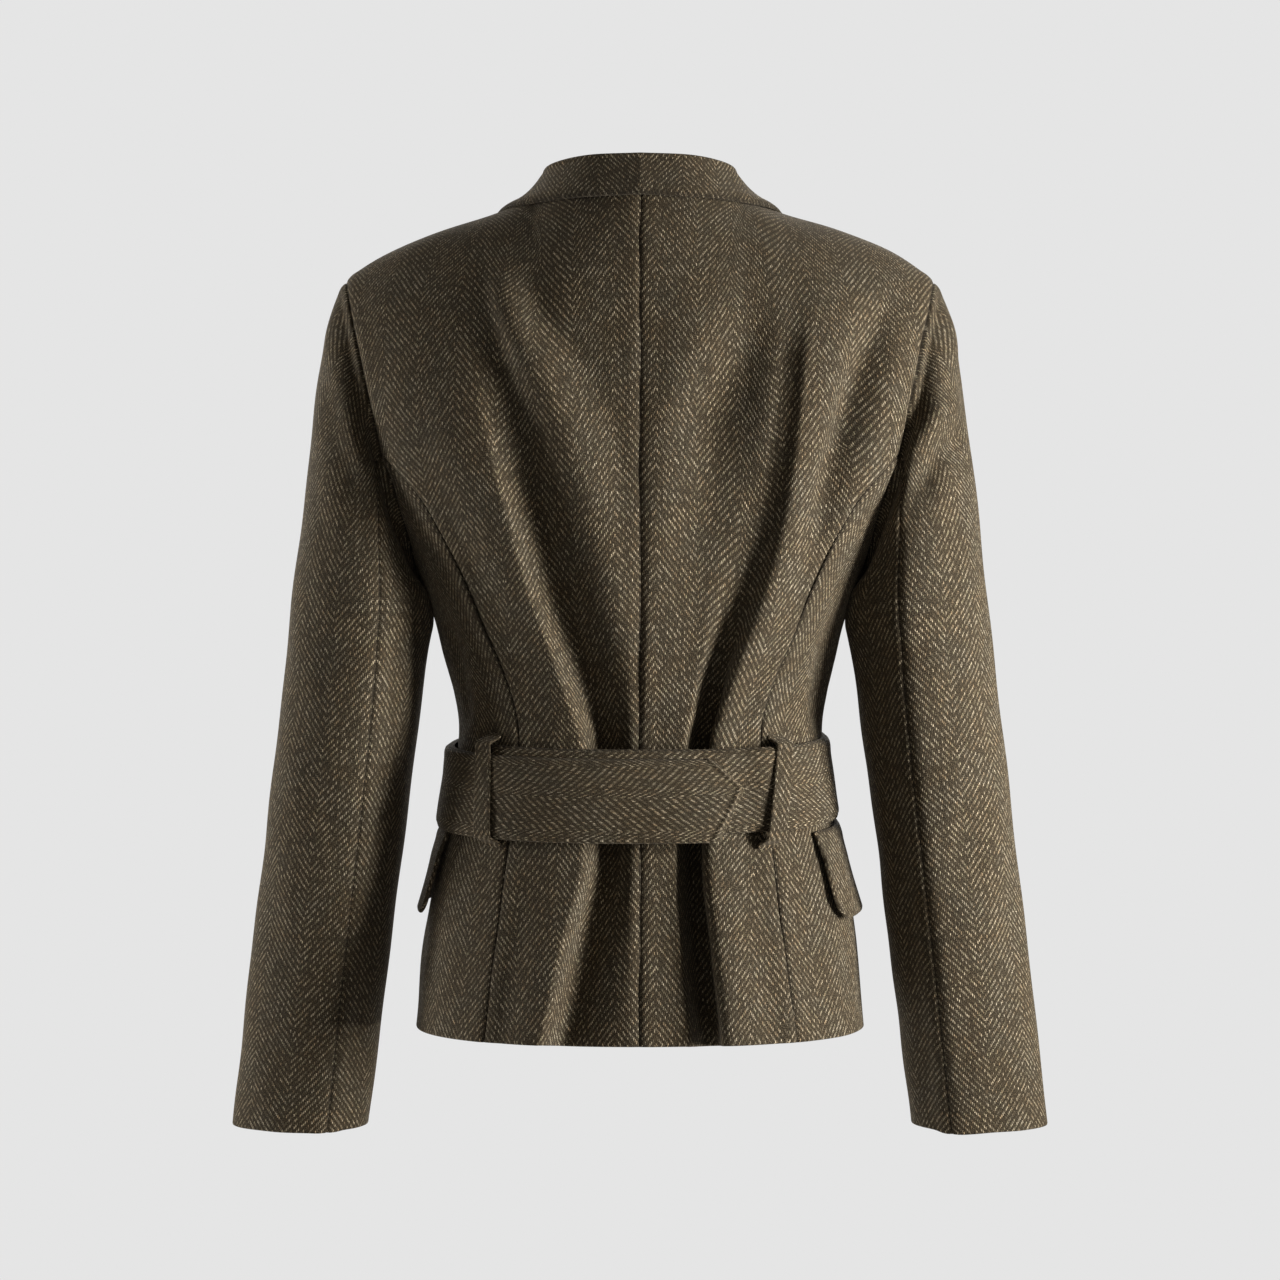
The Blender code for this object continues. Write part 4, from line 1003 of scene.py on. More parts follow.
def collar(u, w):
    """Stand, fold and fall for u along the neck (-1 to 1) and w from its seam to the free edge."""
    along, mirror = np.abs(u), np.where(u < 0, -1.0, 1.0)
    guides = {name: read(COLLAR_GUIDES, name, along, "u") for name in COLLAR_GUIDES.dtype.names[1:]}
    fold, edge = (stack(*[guides[f"{line}_{axis}"] for axis in "xyz"]) for line in ("fold", "edge"))
    up = np.array([0.0, 0.0, 1.0])
    neck = neck_line(along)
    inward = unit(stack(-neck[..., 0], np.minimum(-neck[..., 1], 0), 0))
    neck = neck + inward * guides["inset"][..., None] + up * guides["rise"][..., None]
    out = level_out(edge - neck)
    turn = (math.pi * (1 - np.clip((w - STAND_SHARE) / (1 - 2 * STAND_SHARE), 0, 1)))[..., None]
    round_fold = fold + COLLAR_FOLD_RADIUS * (out * np.cos(turn) + up * np.sin(turn))
    stand = mix(neck, fold - COLLAR_FOLD_RADIUS * out, np.clip(w / STAND_SHARE, 0, 1)[..., None])
    drop = np.clip((w - 1 + STAND_SHARE) / STAND_SHARE, 0, 1)
    fall = mix(fold + COLLAR_FOLD_RADIUS * out, edge, drop[..., None])
    fall = fall + (guides["bow"] * np.sin(math.pi * drop))[..., None] * (out + up) / math.sqrt(2)
    points = np.where((w < STAND_SHARE)[..., None], stand, round_fold)
    return np.where((w > 1 - STAND_SHARE)[..., None], fall, points) * stack(mirror, 1.0, 1.0)


stand_rows, fold_rows, fall_rows = spaced(16, start=True), spaced(14)[1:-1], spaced(26, end=True)
fold_rows = STAND_SHARE + (1 - 2 * STAND_SHARE) * fold_rows
fall_rows = 1 - STAND_SHARE * (1 - fall_rows)
collar_rows = np.concatenate([STAND_SHARE * stand_rows, fold_rows, fall_rows])
along, w = np.meshgrid(2 * spaced(190, True, True) - 1, collar_rows)
grid = collar(along, w)
relief = ripple(*lengths(grid), COLLAR_SEED, PRESSED_RIPPLE)
relief *= ease((w - 1 + STAND_SHARE) / COLLAR_CALM)
relief += COLLAR_EDGE_LIFT * ease((w - COLLAR_LIFT_FROM) / (1 - COLLAR_LIFT_FROM))
# Painted shadow: both long edges are darkened in the colour over a wider reach, for the shadow under the
# collar's fall.
sew(
    "collar", grid, 1.0, relief,
    seams=("low", "high"), weave=lambda u, v: (u - u[:, -1:] / 2 + BAND, -v), line=COLLAR_EDGE_SHADE_REACH,
)

# %% [markdown]
# ## The sleeves
# A tailored sleeve has two parts, a wide upper one and a narrow one under the arm, with a seam
# down the back.  Its head leaves the armhole along a curve that starts outwards and ends hanging
# down, which a Hermite blend gives: two points and two headings.  Below it, level rings
# hang outwards, and from the elbow to the cuff they come forwards.

# %% Sleeve surface
SLEEVE_RINGS = table(
    ("z", "centre_x", "centre_y", "half_width", "half_depth", "twist"),
    (-650, 241, -20, 48.2, 42, -0.26),
    (-535, 225.5, 0, 48.7, 47, -0.22),
    (-420, 210.5, 11, 48.7, 54, -0.2),
    (-340, 200.7, 13, 49.2, 58, -0.17),
    (-300, 196, 12, 49.3, 60, -0.14),
    plain=("twist",),
)
CAP_END_Z, CAP_END_STEP, CUFF_Z = -0.300, 0.02, -0.650
CAP_GAP, CAP_TUCK = 0.0002, 0.25
CAP_REACH = {"top": 0.063, "side": 0.030, "underarm": 0.012}
CAP_OUT = {"top": 0.92, "underarm": 0.40}
CAP_RISE = {"top": -0.40, "side": -0.10, "underarm": -0.60}


def cap_start(angle):
    """The heading and strength with which the sleeve leaves the armhole, by the place round it."""
    down, sideways = (1 - np.cos(angle)) / 2, np.abs(np.sin(angle))
    out = mix(CAP_OUT["top"], CAP_OUT["underarm"], down)
    rise, reach = (
        mix(mix(ends["top"], ends["underarm"], down), ends["side"], sideways)
        for ends in (CAP_RISE, CAP_REACH)
    )
    return unit(stack(out, -CAP_TUCK * np.sin(angle), rise)), reach


def sleeve_ring(angle, z):
    """A level oval round the sleeve's middle line, its seams turned a little towards the cuff."""
    turned = angle - read(SLEEVE_RINGS, "twist", z) * np.sin(angle)
    x = read(SLEEVE_RINGS, "centre_x", z) + read(SLEEVE_RINGS, "half_width", z) * np.cos(turned)
    y = read(SLEEVE_RINGS, "centre_y", z) + read(SLEEVE_RINGS, "half_depth", z) * np.sin(turned)
    return stack(x, y, z)


def sleeve(angle, v):
    """The sleeve for an angle round it and v from armhole (0) over head's end (1) to cuff (2)."""
    heading, reach = cap_start(angle)
    start = armhole(angle) + CAP_GAP * heading
    ring = sleeve_ring(angle, CAP_END_Z + 0 * angle)
    down = unit(sleeve_ring(angle, CAP_END_Z - CAP_END_STEP + 0 * angle) - ring)
    length = np.linalg.norm(ring - start, axis=-1, keepdims=True)
    t = np.clip(v, 0, 1)[..., None]
    cap = mix(start, ring, ease(t))
    cap = cap + t * (1 - t) ** 2 * heading * reach[..., None] + t * t * (t - 1) * down * length
    low = sleeve_ring(angle, mix(CAP_END_Z, CUFF_Z, np.clip(v - 1, 0, 1)))
    return np.where((v <= 1)[..., None], cap, low)


print("Sleeve levels:", len(SLEEVE_RINGS), "- below the head:", round(CAP_END_Z - CUFF_Z, 3), "m")

# %% Sleeve creases and both sleeves
SLEEVE_BACK_CREASES = {
    "left": table(
        CREASE,
        (178, -150, 166, -235, 2, 8, -3),
        (172, -215, 205, -160, 3, 10, 2.2),
        (170, -300, 235, -345, 6, 12, -1.6),
        (190, -380, 245, -415, 6, 14, 1.6),
        (205, -430, 255, -470, 6, 12, -1.4),
        (228, -250, 240, -600, 4, 14, 1.2),
    ),
    "right": table(
        CREASE,
        (174, -196, 222, -138, 4, 10, 5),
        (186, -212, 230, -160, 4, 10, -6),
        (170, -320, 240, -300, 6, 12, -1.4),
        (185, -400, 250, -430, 6, 14, 1.6),
        (200, -450, 258, -490, 6, 12, -1.4),
        (226, -250, 246, -600, 4, 14, 1.2),
    ),
}
SLEEVE_FRONT_CREASES = table(
    CREASE,
    (165, -200, 205, -140, 4, 9, -2.8),
    (160, -330, 225, -375, -6, 12, -2.6),
    (165, -360, 235, -400, -6, 11, 2.2),
    (175, -395, 240, -425, -5, 10, -2.4),
    (190, -520, 250, -560, 5, 12, 1.4),
)
SEAM_RIDGE = {"left": 0.0040, "right": 0.0065}
RIDGE_REACH = {"upper_sleeve": 0.026, "under_sleeve": 0.012}
RIDGE_FROM_Z, RIDGE_FADE = -0.19, 0.08
HEAD_TROUGH, TROUGH_REACH = -0.0065, 0.015
HEAD_PUFF, HEAD_PUFF_AT, HEAD_PUFF_REACH = 0.0050, 0.036, 0.020
HEAD_ROLL = {"left": 0.6, "right": 0.8}
FACE_FADE, SEAM_CALM, HEAD_CALM = 0.03, 0.025, 0.012
ARMHOLE_OVERLAP = 0.0024
UNDERARM_HUG, UNDERARM_Z, UNDERARM_REACH = 0.0040, -0.277, 0.014


def seam_ridge(u, z, side, part):
    """A soft ridge along the back seam: a bell of the distance from it, growing below the head."""
    away = u[:, -1:] - u if part == "upper_sleeve" else u
    return SEAM_RIDGE[side] * bell(away / RIDGE_REACH[part]) * ease((RIDGE_FROM_Z - z) / RIDGE_FADE)


def head_roll(v, y):
    """On the back the sleeve's head sinks beside the armhole seam and puffs up after it."""
    puff = HEAD_PUFF * bell((v - HEAD_PUFF_AT) / HEAD_PUFF_REACH)
    return (HEAD_TROUGH * bell(v / TROUGH_REACH) + puff) * ease(y / FACE_FADE)


SLEEVE_ROWS = np.concatenate([spaced(80, start=True), 1 + spaced(130, end=True)[1:]])
BACK_SEAM, FRONT_SEAM = ARMHOLE_SEAM_ANGLE, 2 * math.pi - ARMHOLE_SEAM_ANGLE
SLEEVE_PARTS = {
    "upper_sleeve": (-BACK_SEAM, BACK_SEAM, 96, lambda u, v: (u[:, -1:] - u, v[-1:] - v)),
    "under_sleeve": (BACK_SEAM, FRONT_SEAM, 48, lambda u, v: (u, v[-1:] - v)),
}
SLEEVE_SEED = {("left", "upper_sleeve"): 61, ("right", "upper_sleeve"): 62}
SLEEVE_SEED |= {("left", "under_sleeve"): 63, ("right", "under_sleeve"): 64}
for side, mirror in SIDES.items():
    for part, (first, last, count, weave) in SLEEVE_PARTS.items():
        c, level = np.meshgrid(spaced(count, True, True), SLEEVE_ROWS)
        grid = sleeve(mix(first, last, c), level)
        u, v = lengths(grid)
        x, y, z = np.moveaxis(grid, -1, 0)
        behind = y - read(SLEEVE_RINGS, "centre_y", z)
        relief = creases(x, z, SLEEVE_BACK_CREASES[side]) * ease(behind / FACE_FADE)
        relief += creases(x, z, SLEEVE_FRONT_CREASES) * ease(-behind / FACE_FADE)
        inside = ease(np.minimum(u, u[:, -1:] - u) / SEAM_CALM)
        relief += ripple(u, v, SLEEVE_SEED[side, part], LOOSE_RIPPLE) * inside
        relief += seam_ridge(u, z, side, part) + HEAD_ROLL[side] * head_roll(v, y)
        if part == "under_sleeve":
            relief += UNDERARM_HUG * bell((z - UNDERARM_Z) / UNDERARM_REACH) * inside
        sew(
            f"{part}_{side}", grid, -1.0, relief * ease(v / HEAD_CALM),
            seams=("start", "end", "low"), mirror=mirror, weave=weave, overlap=ARMHOLE_OVERLAP,
        )

# %% [markdown]
# ## The belt and its loops
# The belt is a wide double strip of the same cloth.  It starts behind the left loop,
# runs once round the waist and comes back over itself to a point on the back.  The two layers
# lie a few millimetres apart in height, so the edge of the under one shows above the upper one.
# It is stiff, so it runs straight from its upper edge on the trunk to its lower one; its edges
# and its point are rolled by pressing, and it bulges where the right loop holds it.

# %% Belt
BELT_WIDTH, BELT_STRIP, BELT_THICK = 0.060, 0.0540, 0.0042
BELT_MIDDLE_Z, BELT_TILT = -0.4035, 0.080
BELT_CLEARANCE, BELT_LAYER_GAP = 0.0012, 0.0004
BELT_OUT = BELT_CLEARANCE + BELT_THICK
BELT_TIP_X, BELT_TIP_LENGTH, BELT_TIP_AT = -0.0635, 0.019, 0.62
BELT_UNDER_END_X = 0.101
BELT_LAP_RAMP, LAP_TURN = math.radians(50), 0.5
BELT_BULGE, BULGE_LAYER = 0.0042, 0.4
BULGE_FROM, BULGE_RISE, BULGE_TO, BULGE_FALL = 0.066, 0.016, 0.125, 0.035
BELT_DROP_FROM, BELT_DROP_RUN = 0.25, 0.5


def belt_line_z(y):
    """The belt dips at the back: its middle falls in step with y."""
    return BELT_MIDDLE_Z - BELT_TILT * y


def belt_level(angle):
    """The height of the belt's middle line at an angle round the trunk."""
    return belt_line_z(trunk_ring(angle, BELT_MIDDLE_Z + 0 * angle)[..., 1])


def belt_side(angle, height, out):
    """A point out metres off the trunk, height metres above the belt's middle line."""
    level = belt_level(angle)
    lower, upper = (trunk_ring(angle, level + way * BELT_WIDTH / 2) for way in (-1, 1))
    point = mix(lower, upper, (height / BELT_WIDTH + 0.5)[..., None])
    return point + level_out(point) * (out * np.ones_like(angle))[..., None]


def angle_at(x, z):
    """The trunk's angle from the centre back at a signed half width on its back."""
    return math.copysign(1, x) * float(np.arctan2(abs(x), trunk_y(abs(x), z, "back")))


def radius_at(x):
    """The trunk's distance from its middle line at a half width on its back, at the belt."""
    return math.hypot(x, trunk_y(abs(x), BELT_MIDDLE_Z, "back"))


BELT_START = angle_at(BELT_UNDER_END_X, BELT_MIDDLE_Z)
BELT_END = angle_at(BELT_TIP_X, BELT_MIDDLE_Z) - 2 * math.pi
BELT_LAP = BELT_START - BELT_END - 2 * math.pi


def belt_bulge(angle, c):
    """The under layer stands off beside the right loop: eased up and down by the half width."""
    across = np.abs(trunk_ring(angle, BELT_MIDDLE_Z + 0 * angle)[..., 0])
    shape = ease((across - BULGE_FROM) / BULGE_RISE) * ease((BULGE_TO - across) / BULGE_FALL)
    return BELT_BULGE * shape * (c < BULGE_LAYER) * (angle < 0)


def belt(c, h):
    """The belt's outer face for c from its under end round the waist to its point, h across it."""
    tip_turn = BELT_TIP_LENGTH / radius_at(BELT_TIP_X)
    above, below = (h - BELT_TIP_AT) / (1 - BELT_TIP_AT), (BELT_TIP_AT - h) / BELT_TIP_AT
    from_tip = np.maximum(above, below)
    angle = mix(BELT_START, BELT_END + tip_turn * from_tip, c)
    to_go = mix(BELT_START, BELT_END, c) - BELT_END
    over = ease((BELT_LAP + BELT_LAP_RAMP - to_go) / BELT_LAP_RAMP)
    over_front = ease(1 + LAP_TURN - np.abs(angle + math.pi) / LAP_TURN)
    out = BELT_OUT + over * (BELT_THICK + BELT_LAYER_GAP) + over_front * LAP_RISE
    out += belt_bulge(angle, c)
    round_front = ease((c - BELT_DROP_FROM) / BELT_DROP_RUN)
    height = (h - 0.5) * BELT_STRIP + (BELT_WIDTH - BELT_STRIP) * (0.5 - round_front)
    return belt_side(angle, height, out)


print("Belt turns:", round((BELT_START - BELT_END) / (2 * math.pi), 3))

# %% The belt's pressed edges, and its wall
POINT_ROLL, POINT_ROLL_REACH = 0.0038, 0.0042
EDGE_ROLL, EDGE_ROLL_REACH = 0.0012, 0.0030
POINT_RIDGE, RIDGE_AT, RIDGE_WIDTH = 0.0012, 0.0030, 0.0016
TROUGH_SHARE, TROUGH_AT, TROUGH_WIDTH = 0.6, 0.0068, 0.0020
POINT_RUN, BELT_LENGTH = 0.0045, 1.05
POINT_STEPS = POINT_RUN / BELT_LENGTH * np.linspace(0, 1, 10)[:-1]
BELT_WEAVE, BELT_SEED = (1.12, 0.93), 71


def edge_roll(away, deep, reach):
    """A pressed edge rolls over: a drop that eases out over its reach from the edge."""
    return -deep * (1 - ease(away / reach))


def belt_threads(u, v):
    """The warps run along the belt, so its bands do too; both ways are a little scaled."""
    return BELT_WEAVE[0] * (v - v[-1:] / 2), -BELT_WEAVE[1] * u[len(u) // 2]


belt_steps = np.unique(np.round(np.concatenate([spaced(560, True), 1 - POINT_STEPS]), 5))
c, h = np.meshgrid(belt_steps, spaced(30, True, True))
grid = belt(c, h)
u, v = lengths(grid)
sides = to_sides(u, v)
roll = edge_roll(sides["end"], POINT_ROLL, POINT_ROLL_REACH)
roll += edge_roll(np.minimum(sides["low"], sides["high"]), EDGE_ROLL, EDGE_ROLL_REACH)
trough = TROUGH_SHARE * bell((sides["end"] - TROUGH_AT) / TROUGH_WIDTH)
ridge = POINT_RIDGE * (bell((sides["end"] - RIDGE_AT) / RIDGE_WIDTH) - trough)
relief = ripple(u, v, BELT_SEED, RIPPLE) + np.maximum(roll, -POINT_ROLL) + ridge
# Treating the top edge as a seam dips it and paints a thin line of shade along it, for the shadow at the
# belt's upper edge.
sew(
    "belt", grid, 1.0, relief,
    seams=("high",), wall=BELT_THICK, weave=belt_threads,
)

# %% Belt loops
LOOP_WIDTH, LOOP_THICK = 0.0108, 0.0018
LOOP_OVERHANG, LOOP_FOOT, LOOP_SEAT = 0.007, 0.001, 0.0003
LOOP_X = {"left": 0.0955, "right": 0.0850}
LOOP_RAISE = {"left": BELT_THICK + BELT_LAYER_GAP, "right": BELT_BULGE}
LOOP_LEAN = {"left": 0.012, "right": 0.018}
LOOP_SEED = {"left": 81, "right": 82}


def belt_loop(side, c, h):
    """A leaning strip over the belt that eases down onto the back above and below it."""
    middle = angle_at(LOOP_X[side], BELT_MIDDLE_Z)
    across = (c - 0.5) * LOOP_WIDTH + (h - 0.5) * LOOP_LEAN[side]
    angle = middle + across / radius_at(LOOP_X[side])
    reach = BELT_WIDTH / 2 + LOOP_OVERHANG
    height = mix(-reach, reach, h)
    over = ease((reach - np.abs(height)) / (LOOP_OVERHANG - LOOP_FOOT))
    level = belt_level(angle) + height
    on_trunk = trunk_ring(angle, level)
    low = on_trunk + level_out(on_trunk) * (LOOP_SEAT + LOOP_THICK)
    inside = np.clip(height, -BELT_WIDTH / 2, BELT_WIDTH / 2)
    high = belt_side(angle, inside, BELT_OUT + 2 * LOOP_SEAT + LOOP_THICK + LOOP_RAISE[side])
    high[..., 2] = level
    return mix(low, high, over[..., None])


for side, mirror in SIDES.items():
    c, h = np.meshgrid(spaced(8, True, True), spaced(90, True, True))
    grid = belt_loop(side, c, h)
    relief = ripple(*lengths(grid), LOOP_SEED[side], PRESSED_RIPPLE)
    sew(
        f"belt_loop_{side}", grid, -1.0, relief,
        mirror=mirror, wall=LOOP_THICK,
    )

# %% [markdown]
# ## The pocket flaps
# A flap hangs from its pocket's seam under the belt.  It is two layers of cloth with rounded lower
# corners, and its rear edge stands off the hip, so a dark gap shows behind it.

# %% Pocket flaps
FLAP_TOP_GAP, FLAP_SEAT = 0.0008, 0.0008
FLAP_DEPTH, FLAP_LENGTH, FLAP_THICK, FLAP_CORNER = 0.058, 0.140, 0.003, 0.014
FLAP_LIFT, FLAP_REAR_LIFT, REAR_LIFT_RUN = 0.0025, 0.0035, 0.4
FLAP_REAR_X = {"left": 0.134, "right": 0.122}
FLAP_CALM, FLAP_SEED = 0.01, 91


def pocket_flap(side, c, r):
    """The trunk's side moved out, with round lower corners, lifting to its lower and rear edges."""
    middle_z = BELT_MIDDLE_Z - BELT_WIDTH / 2 - FLAP_DEPTH / 2
    turn = FLAP_LENGTH / float(read(SECTIONS, "half_width", middle_z))
    cut = np.clip(FLAP_CORNER - np.minimum(c, 1 - c) * FLAP_LENGTH, 0, FLAP_CORNER)
    rounding = FLAP_CORNER - np.sqrt(FLAP_CORNER**2 - cut**2)
    angle = angle_at(FLAP_REAR_X[side], middle_z) + turn * c
    top_z = belt_level(angle) - BELT_WIDTH / 2 - FLAP_TOP_GAP
    points = trunk_ring(angle, top_z - (FLAP_DEPTH - rounding) * r)
    lift = FLAP_LIFT * r**2 + FLAP_REAR_LIFT * (1 - c) ** 2 * ease(r / REAR_LIFT_RUN)
    return points + level_out(points) * (FLAP_SEAT + FLAP_THICK + lift)[..., None]


corner_steps = FLAP_CORNER / FLAP_LENGTH * spaced(8)[1:-1] ** 2
flap_steps = np.concatenate([spaced(70, True, True), corner_steps])
flap_steps = np.unique(np.round(np.concatenate([flap_steps, 1 - flap_steps]), 5))
for side, mirror in SIDES.items():
    c, r = np.meshgrid(flap_steps, spaced(36, True, True))
    grid = pocket_flap(side, c, r)
    u, v = lengths(grid)
    relief = ripple(u, v, FLAP_SEED, PRESSED_RIPPLE) * ease(v / FLAP_CALM)
    sew(
        f"pocket_flap_{side}", grid, 1.0, relief,
        seams=("low",), mirror=mirror, wall=FLAP_THICK, weave=lambda u, v: (u, -v),
    )

# %% [markdown]
# ## The buttons
# Two brown horn buttons close the fronts above and below the belt.  Each is turned: a raised rim,
# a dished middle and four holes, sewn with a crossed thread.  A polar grid gives the turned face,
# and each hole is a smooth pit in its height.

# %% Horn and thread
HORN_GRAIN = (220.0, 220.0, 900.0)
HORN_DARK, HORN_LIGHT = (0.022, 0.012, 0.006), (0.11, 0.062, 0.030)
THREAD_DARK, THREAD_LIGHT = (0.030, 0.021, 0.012), (0.085, 0.063, 0.038)


def on_object(tree):
    """The place on the piece, in its own metres."""
    return add_node(tree, "ShaderNodeTexCoord").outputs["Object"]


def brown_horn():
    """Polished horn: stretched noise in two browns, with a soft gloss."""
    made, tree, shader = material("brown_horn")
    grain = add_node(tree, "ShaderNodeMapping", Vector=on_object(tree), Scale=HORN_GRAIN)
    streak = noise(tree, grain.outputs[0], 1.0, 4.0, Distortion=0.6)
    colour = blend(tree, ramp(tree, streak, 0.35, 0.68), HORN_DARK, HORN_LIGHT)
    gloss = ramp(tree, streak, 0.3, 0.7, 0.24, 0.38)
    set_inputs(shader, Base_Color=colour, Roughness=gloss, Normal=bump(tree, streak, 0.15, 0.0003))
    return made


def sewing_thread():
    """Waxed brown thread: a fine mottle of two browns."""
    made, tree, shader = material("sewing_thread")
    twist = noise(tree, on_object(tree), 2600.0, 2.0)
    colour = blend(tree, ramp(tree, twist, 0.35, 0.65), THREAD_DARK, THREAD_LIGHT)
    set_inputs(shader, Base_Color=colour, Roughness=0.6, Normal=bump(tree, twist, 0.4, 0.0002))
    return made


HORN, THREAD = brown_horn(), sewing_thread()
print("Finishes:", [finish.name for finish in (TWEED, HORN, THREAD)])

# %% Button and stitch
BUTTON_RADIUS, BUTTON_THICK, BUTTON_SEAT = 0.0105, 0.0042, 0.0007
BUTTON_RINGS, BUTTON_TURNS, BUTTON_FACE = np.linspace(0.004, 0.996, 64), 96, 0.5
HOLE_RADIUS, HOLE_DEPTH, HOLE_AT = 0.0011, 0.0022, 0.0024 / math.sqrt(2)
HOLE_EDGE, HOLE_SLOPE = 0.6, 0.8
STITCH_RADIUS, STITCH_DIVE, STITCH_RINGS, STITCH_TURNS = 0.00045, 0.0012, 17, 12
BUTTON_PROFILE = table(
    ("length", "radius", "height"),
    (0.00, 0.000, 0.58),
    (0.30, 0.560, 0.60),
    (0.42, 0.700, 0.88),
    (0.52, 0.820, 1.00),
    (0.60, 0.920, 0.92),
    (0.68, 1.000, 0.58),
    (0.76, 0.960, 0.22),
    (0.82, 0.860, 0.04),
    (1.00, 0.000, 0.00),
    plain=("length", "radius", "height"),
)


def seat(z):
    """The place and the three ways of a button: out of the cloth, across it and up it."""
    at = np.zeros(1)
    out = front_normal(at, at + z)[0]
    across = unit(np.cross((0.0, 0.0, 1.0), out))
    foot = np.array([0.0, float(front_y(at, at + z)[0]) - LAP_RISE, z]) + out * BUTTON_SEAT
    return foot, out, across, np.cross(out, across)


def round_turn(count):
    """Even angles once round."""
    return np.linspace(0, 2 * math.pi, count, endpoint=False)


def closed_grid(shape):
    """Quads of a grid that runs round on itself along its columns."""
    number = np.arange(shape[0] * shape[1]).reshape(shape)
    after = np.roll(number, -1, axis=1)
    return np.stack([number[:-1], after[:-1], after[1:], number[1:]], axis=-1).reshape(-1, 4)


def turned_button(z):
    """The profile turned about the way out, with four smooth pits in its face."""
    foot, out, across, up = seat(z)
    angle = round_turn(BUTTON_TURNS)
    radius, height = (
        read(BUTTON_PROFILE, name, BUTTON_RINGS, "length")[:, None] for name in ("radius", "height")
    )
    x, y = radius * BUTTON_RADIUS * np.cos(angle), radius * BUTTON_RADIUS * np.sin(angle)
    off = np.hypot(np.abs(x) - HOLE_AT, np.abs(y) - HOLE_AT) / HOLE_RADIUS
    pit = HOLE_DEPTH * (1 - ease((off - HOLE_EDGE) / HOLE_SLOPE))
    lift = height * BUTTON_THICK - pit * (BUTTON_RINGS < BUTTON_FACE)[:, None]
    points = foot + x[..., None] * across + y[..., None] * up + lift[..., None] * out
    return points.reshape(-1, 3), closed_grid(x.shape)


def stitch(start, end, out, bow):
    """A thread tube from one hole to another, bowed up between them and closed at its ends."""
    t, angle = np.linspace(0, 1, STITCH_RINGS)[:, None], round_turn(STITCH_TURNS)
    middle = mix(start, end, t) + out * (bow * np.sin(math.pi * t) - STITCH_DIVE * (2 * t - 1) ** 6)
    thin = STITCH_RADIUS * np.sqrt(np.clip(1 - (2 * t - 1) ** 8, 1e-4, 1))
    ring = np.cos(angle)[:, None] * np.cross(out, unit(end - start)) + np.sin(angle)[:, None] * out
    points = middle[:, None] + thin[..., None] * ring
    return points.reshape(-1, 3), closed_grid(points.shape[:2])


# %% Buttons and their threads
BUTTON_Z = (-0.3445, -0.475)
THREAD_LEVEL = 0.60 * BUTTON_THICK
STITCHES = (((1, 1), (-1, -1), 0.0007), ((1, -1), (-1, 1), 0.0013))


def small_part(name, points, faces, finish, slot):
    """A small rigid piece, whose quads already face outwards."""
    uv, shade = np.zeros((len(points), 2)), np.zeros(len(points))
    piece = put_in_scene(name, points, faces, uv, shade, finish)
    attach(piece, "root")
    print(f"{name}: {2 * len(faces)} triangles")
    return piece


for number, z in enumerate(BUTTON_Z, 1):
    horn = small_part(f"button_{number}_horn", *turned_button(z), HORN, "brown_horn")
    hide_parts(f"button_{number}")
    foot, out, across, up = seat(z)
    centre = foot + out * THREAD_LEVEL
    tubes = []
    for *holes, bow in STITCHES:
        start, end = (centre + HOLE_AT * (right * across + high * up) for right, high in holes)
        tubes.append(stitch(start, end, out, bow))
    points = np.concatenate([tube[0] for tube in tubes])
    faces = np.concatenate([tube[1] + len(tube[0]) * order for order, tube in enumerate(tubes)])
    small_part(f"button_{number}_thread", points, faces, THREAD, "brown_horn")

# %% [markdown]
# ## Floor, light and camera
# The blazer hangs in front of a plain pale ground, so the world shows that grey to the camera and
# only a dim light to everything else.  A small soft light close by on the right is the main one; a
# larger one on the left and two on the far side keep both outlines clear.  The camera stands level
# behind the blazer, two metres off, with a long lens.

# %% Floor and world
FLOOR_Z, FLOOR_RADIUS, FLOOR_RINGS, FLOOR_TURNS = -1.40, 3.0, 24, 96
FLOOR_DARK, FLOOR_LIGHT, BACKDROP = (0.74,) * 3, (0.80,) * 3, (0.7835,) * 3
AMBIENT, AMBIENT_STRENGTH = (1.0, 0.97, 0.92), 0.15


def pale_floor():
    """A matt pale grey with a faint mottle."""
    made, tree, shader = material("pale_floor")
    colour = blend(tree, noise(tree, on_object(tree), 2.0, 4.0), FLOOR_DARK, FLOOR_LIGHT)
    set_inputs(shader, Base_Color=colour, Roughness=0.9)
    return made


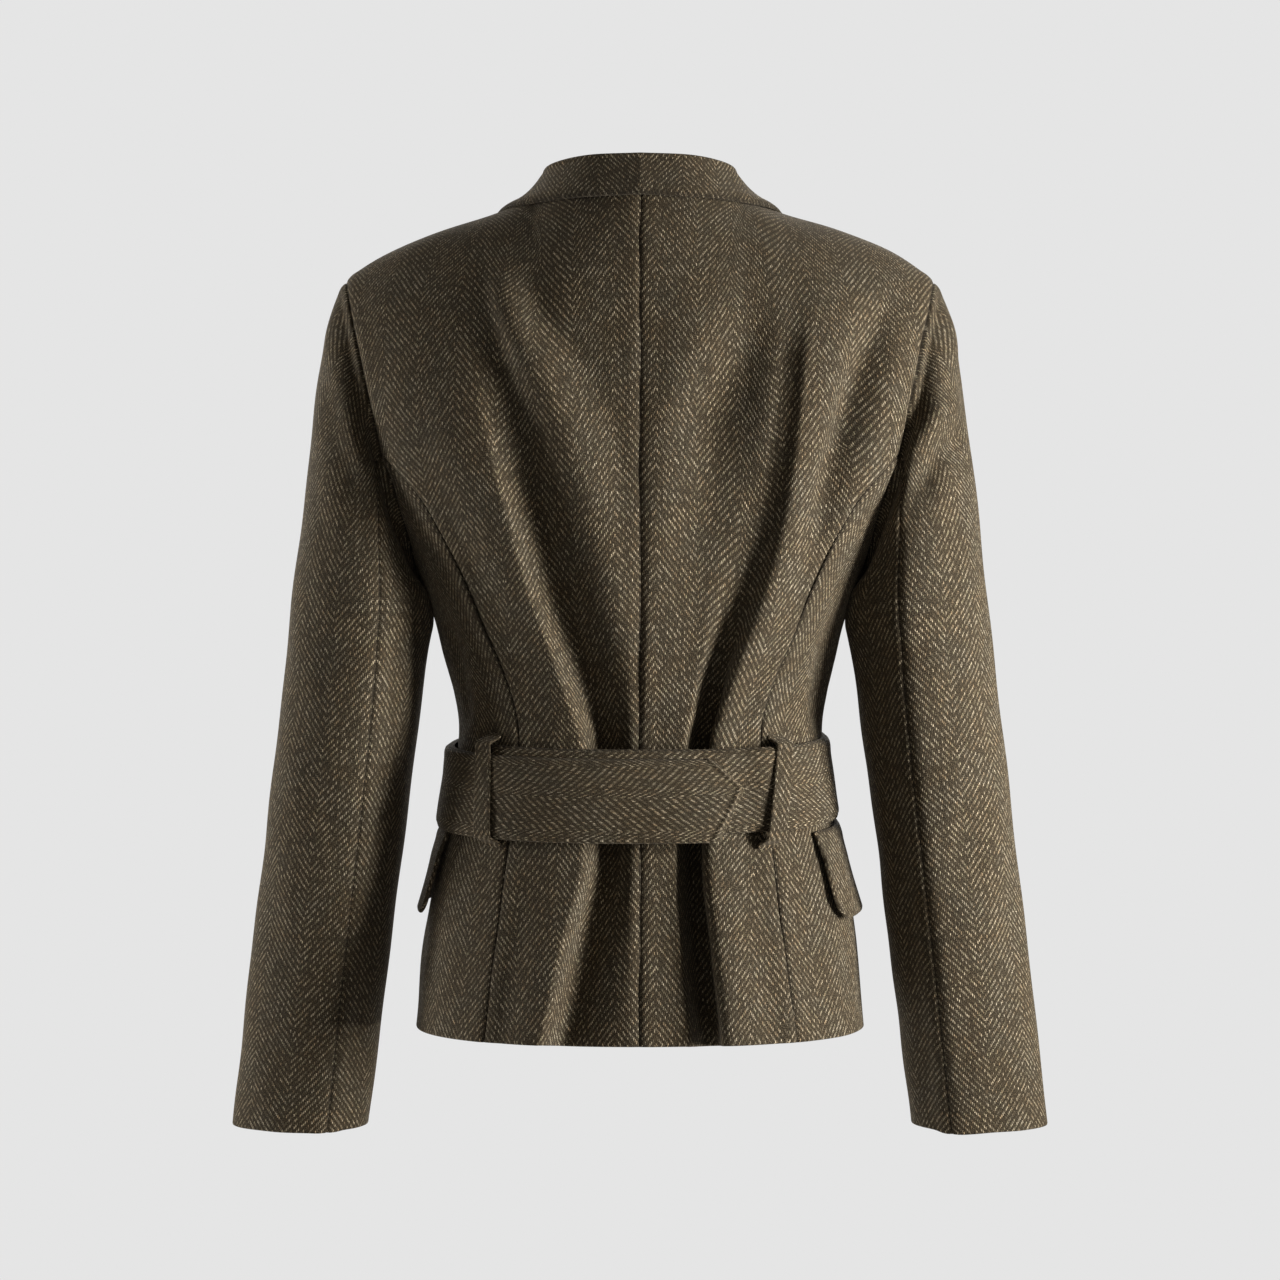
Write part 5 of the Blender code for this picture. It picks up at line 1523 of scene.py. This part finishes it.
radius, angle = np.linspace(0.001, FLOOR_RADIUS, FLOOR_RINGS)[:, None], round_turn(FLOOR_TURNS)
points = stack(radius * np.cos(angle), radius * np.sin(angle), FLOOR_Z).reshape(-1, 3)
faces = closed_grid((FLOOR_RINGS, FLOOR_TURNS))[:, ::-1]
put_in_scene("floor", points, faces, points[:, :2], np.zeros(len(points)), pale_floor())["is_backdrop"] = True

world = bpy.data.worlds.new("studio")
world.use_nodes = True
bpy.context.scene.world = world
sky = world.node_tree
lit = set_inputs(sky.nodes["Background"], Color=AMBIENT, Strength=AMBIENT_STRENGTH)
seen = add_node(sky, "ShaderNodeBackground", Color=BACKDROP, Strength=1.0)
by_camera = add_node(sky, "ShaderNodeLightPath").outputs["Is Camera Ray"]
either = add_node(sky, "ShaderNodeMixShader", i0=by_camera, i1=lit.outputs[0], i2=seen.outputs[0])
set_inputs(sky.nodes["World Output"], i0=either.outputs[0])
bpy.context.scene.view_settings.view_transform = "Standard"
print("Floor:", FLOOR_RINGS, "rings of", FLOOR_TURNS, "points, at", FLOOR_Z, "m")

# %% Lights and camera
AIM = Vector((0.0, 0.0, -0.30))
LIGHTS = {
    "key_right": ((-1.35, 0.66, -0.30), (0.45, 0.8), 10.0, 80),
    "fill_left": ((2.40, -0.08, -0.40), (0.6, 1.4), 40.0, 180),
    "front_right": ((-0.40, -2.30, 0.50), (1.2, 1.4), 24.0, 180),
    "front_left": ((1.10, -2.10, 0.40), (1.2, 1.4), 18.0, 180),
}
for name, (at, size, power, spread) in LIGHTS.items():
    light = bpy.data.lights.new(name, "AREA")
    light.shape = "RECTANGLE"
    light.size, light.size_y = size
    light.energy = power
    light.spread = math.radians(spread)
    lamp = bpy.data.objects.new(name, light)
    lamp.location = at
    lamp.rotation_euler = (AIM - Vector(at)).to_track_quat("-Z", "Y").to_euler()
    bpy.context.scene.collection.objects.link(lamp)

CAMERA_AT = (0.0, 2.2, -0.3077)
PIXELS_A_METRE, IMAGE_WIDTH = 1420, 1280
lens = bpy.data.cameras.new("camera")
lens.sensor_width = 36.0
lens.lens = lens.sensor_width * PIXELS_A_METRE * CAMERA_AT[1] / IMAGE_WIDTH
camera = bpy.data.objects.new("camera", lens)
camera.location = CAMERA_AT
camera.rotation_euler = (math.pi / 2, 0.0, math.pi)
bpy.context.scene.collection.objects.link(camera)
bpy.context.scene.camera = camera
print("Lens:", round(lens.lens, 2), "mm,", len(LIGHTS), "lights")

# %% [markdown]
# Both boxes, the solids' and the cloth's, are printed.  The cloth may stand only a little proud of
# the solids.

# %% Sizes
sizes = {"cad": cad_box, "visual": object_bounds()}
sizes = {name: [[float(n) for n in corner] for corner in box] for name, box in sizes.items()}
print("Boxes:", sizes)
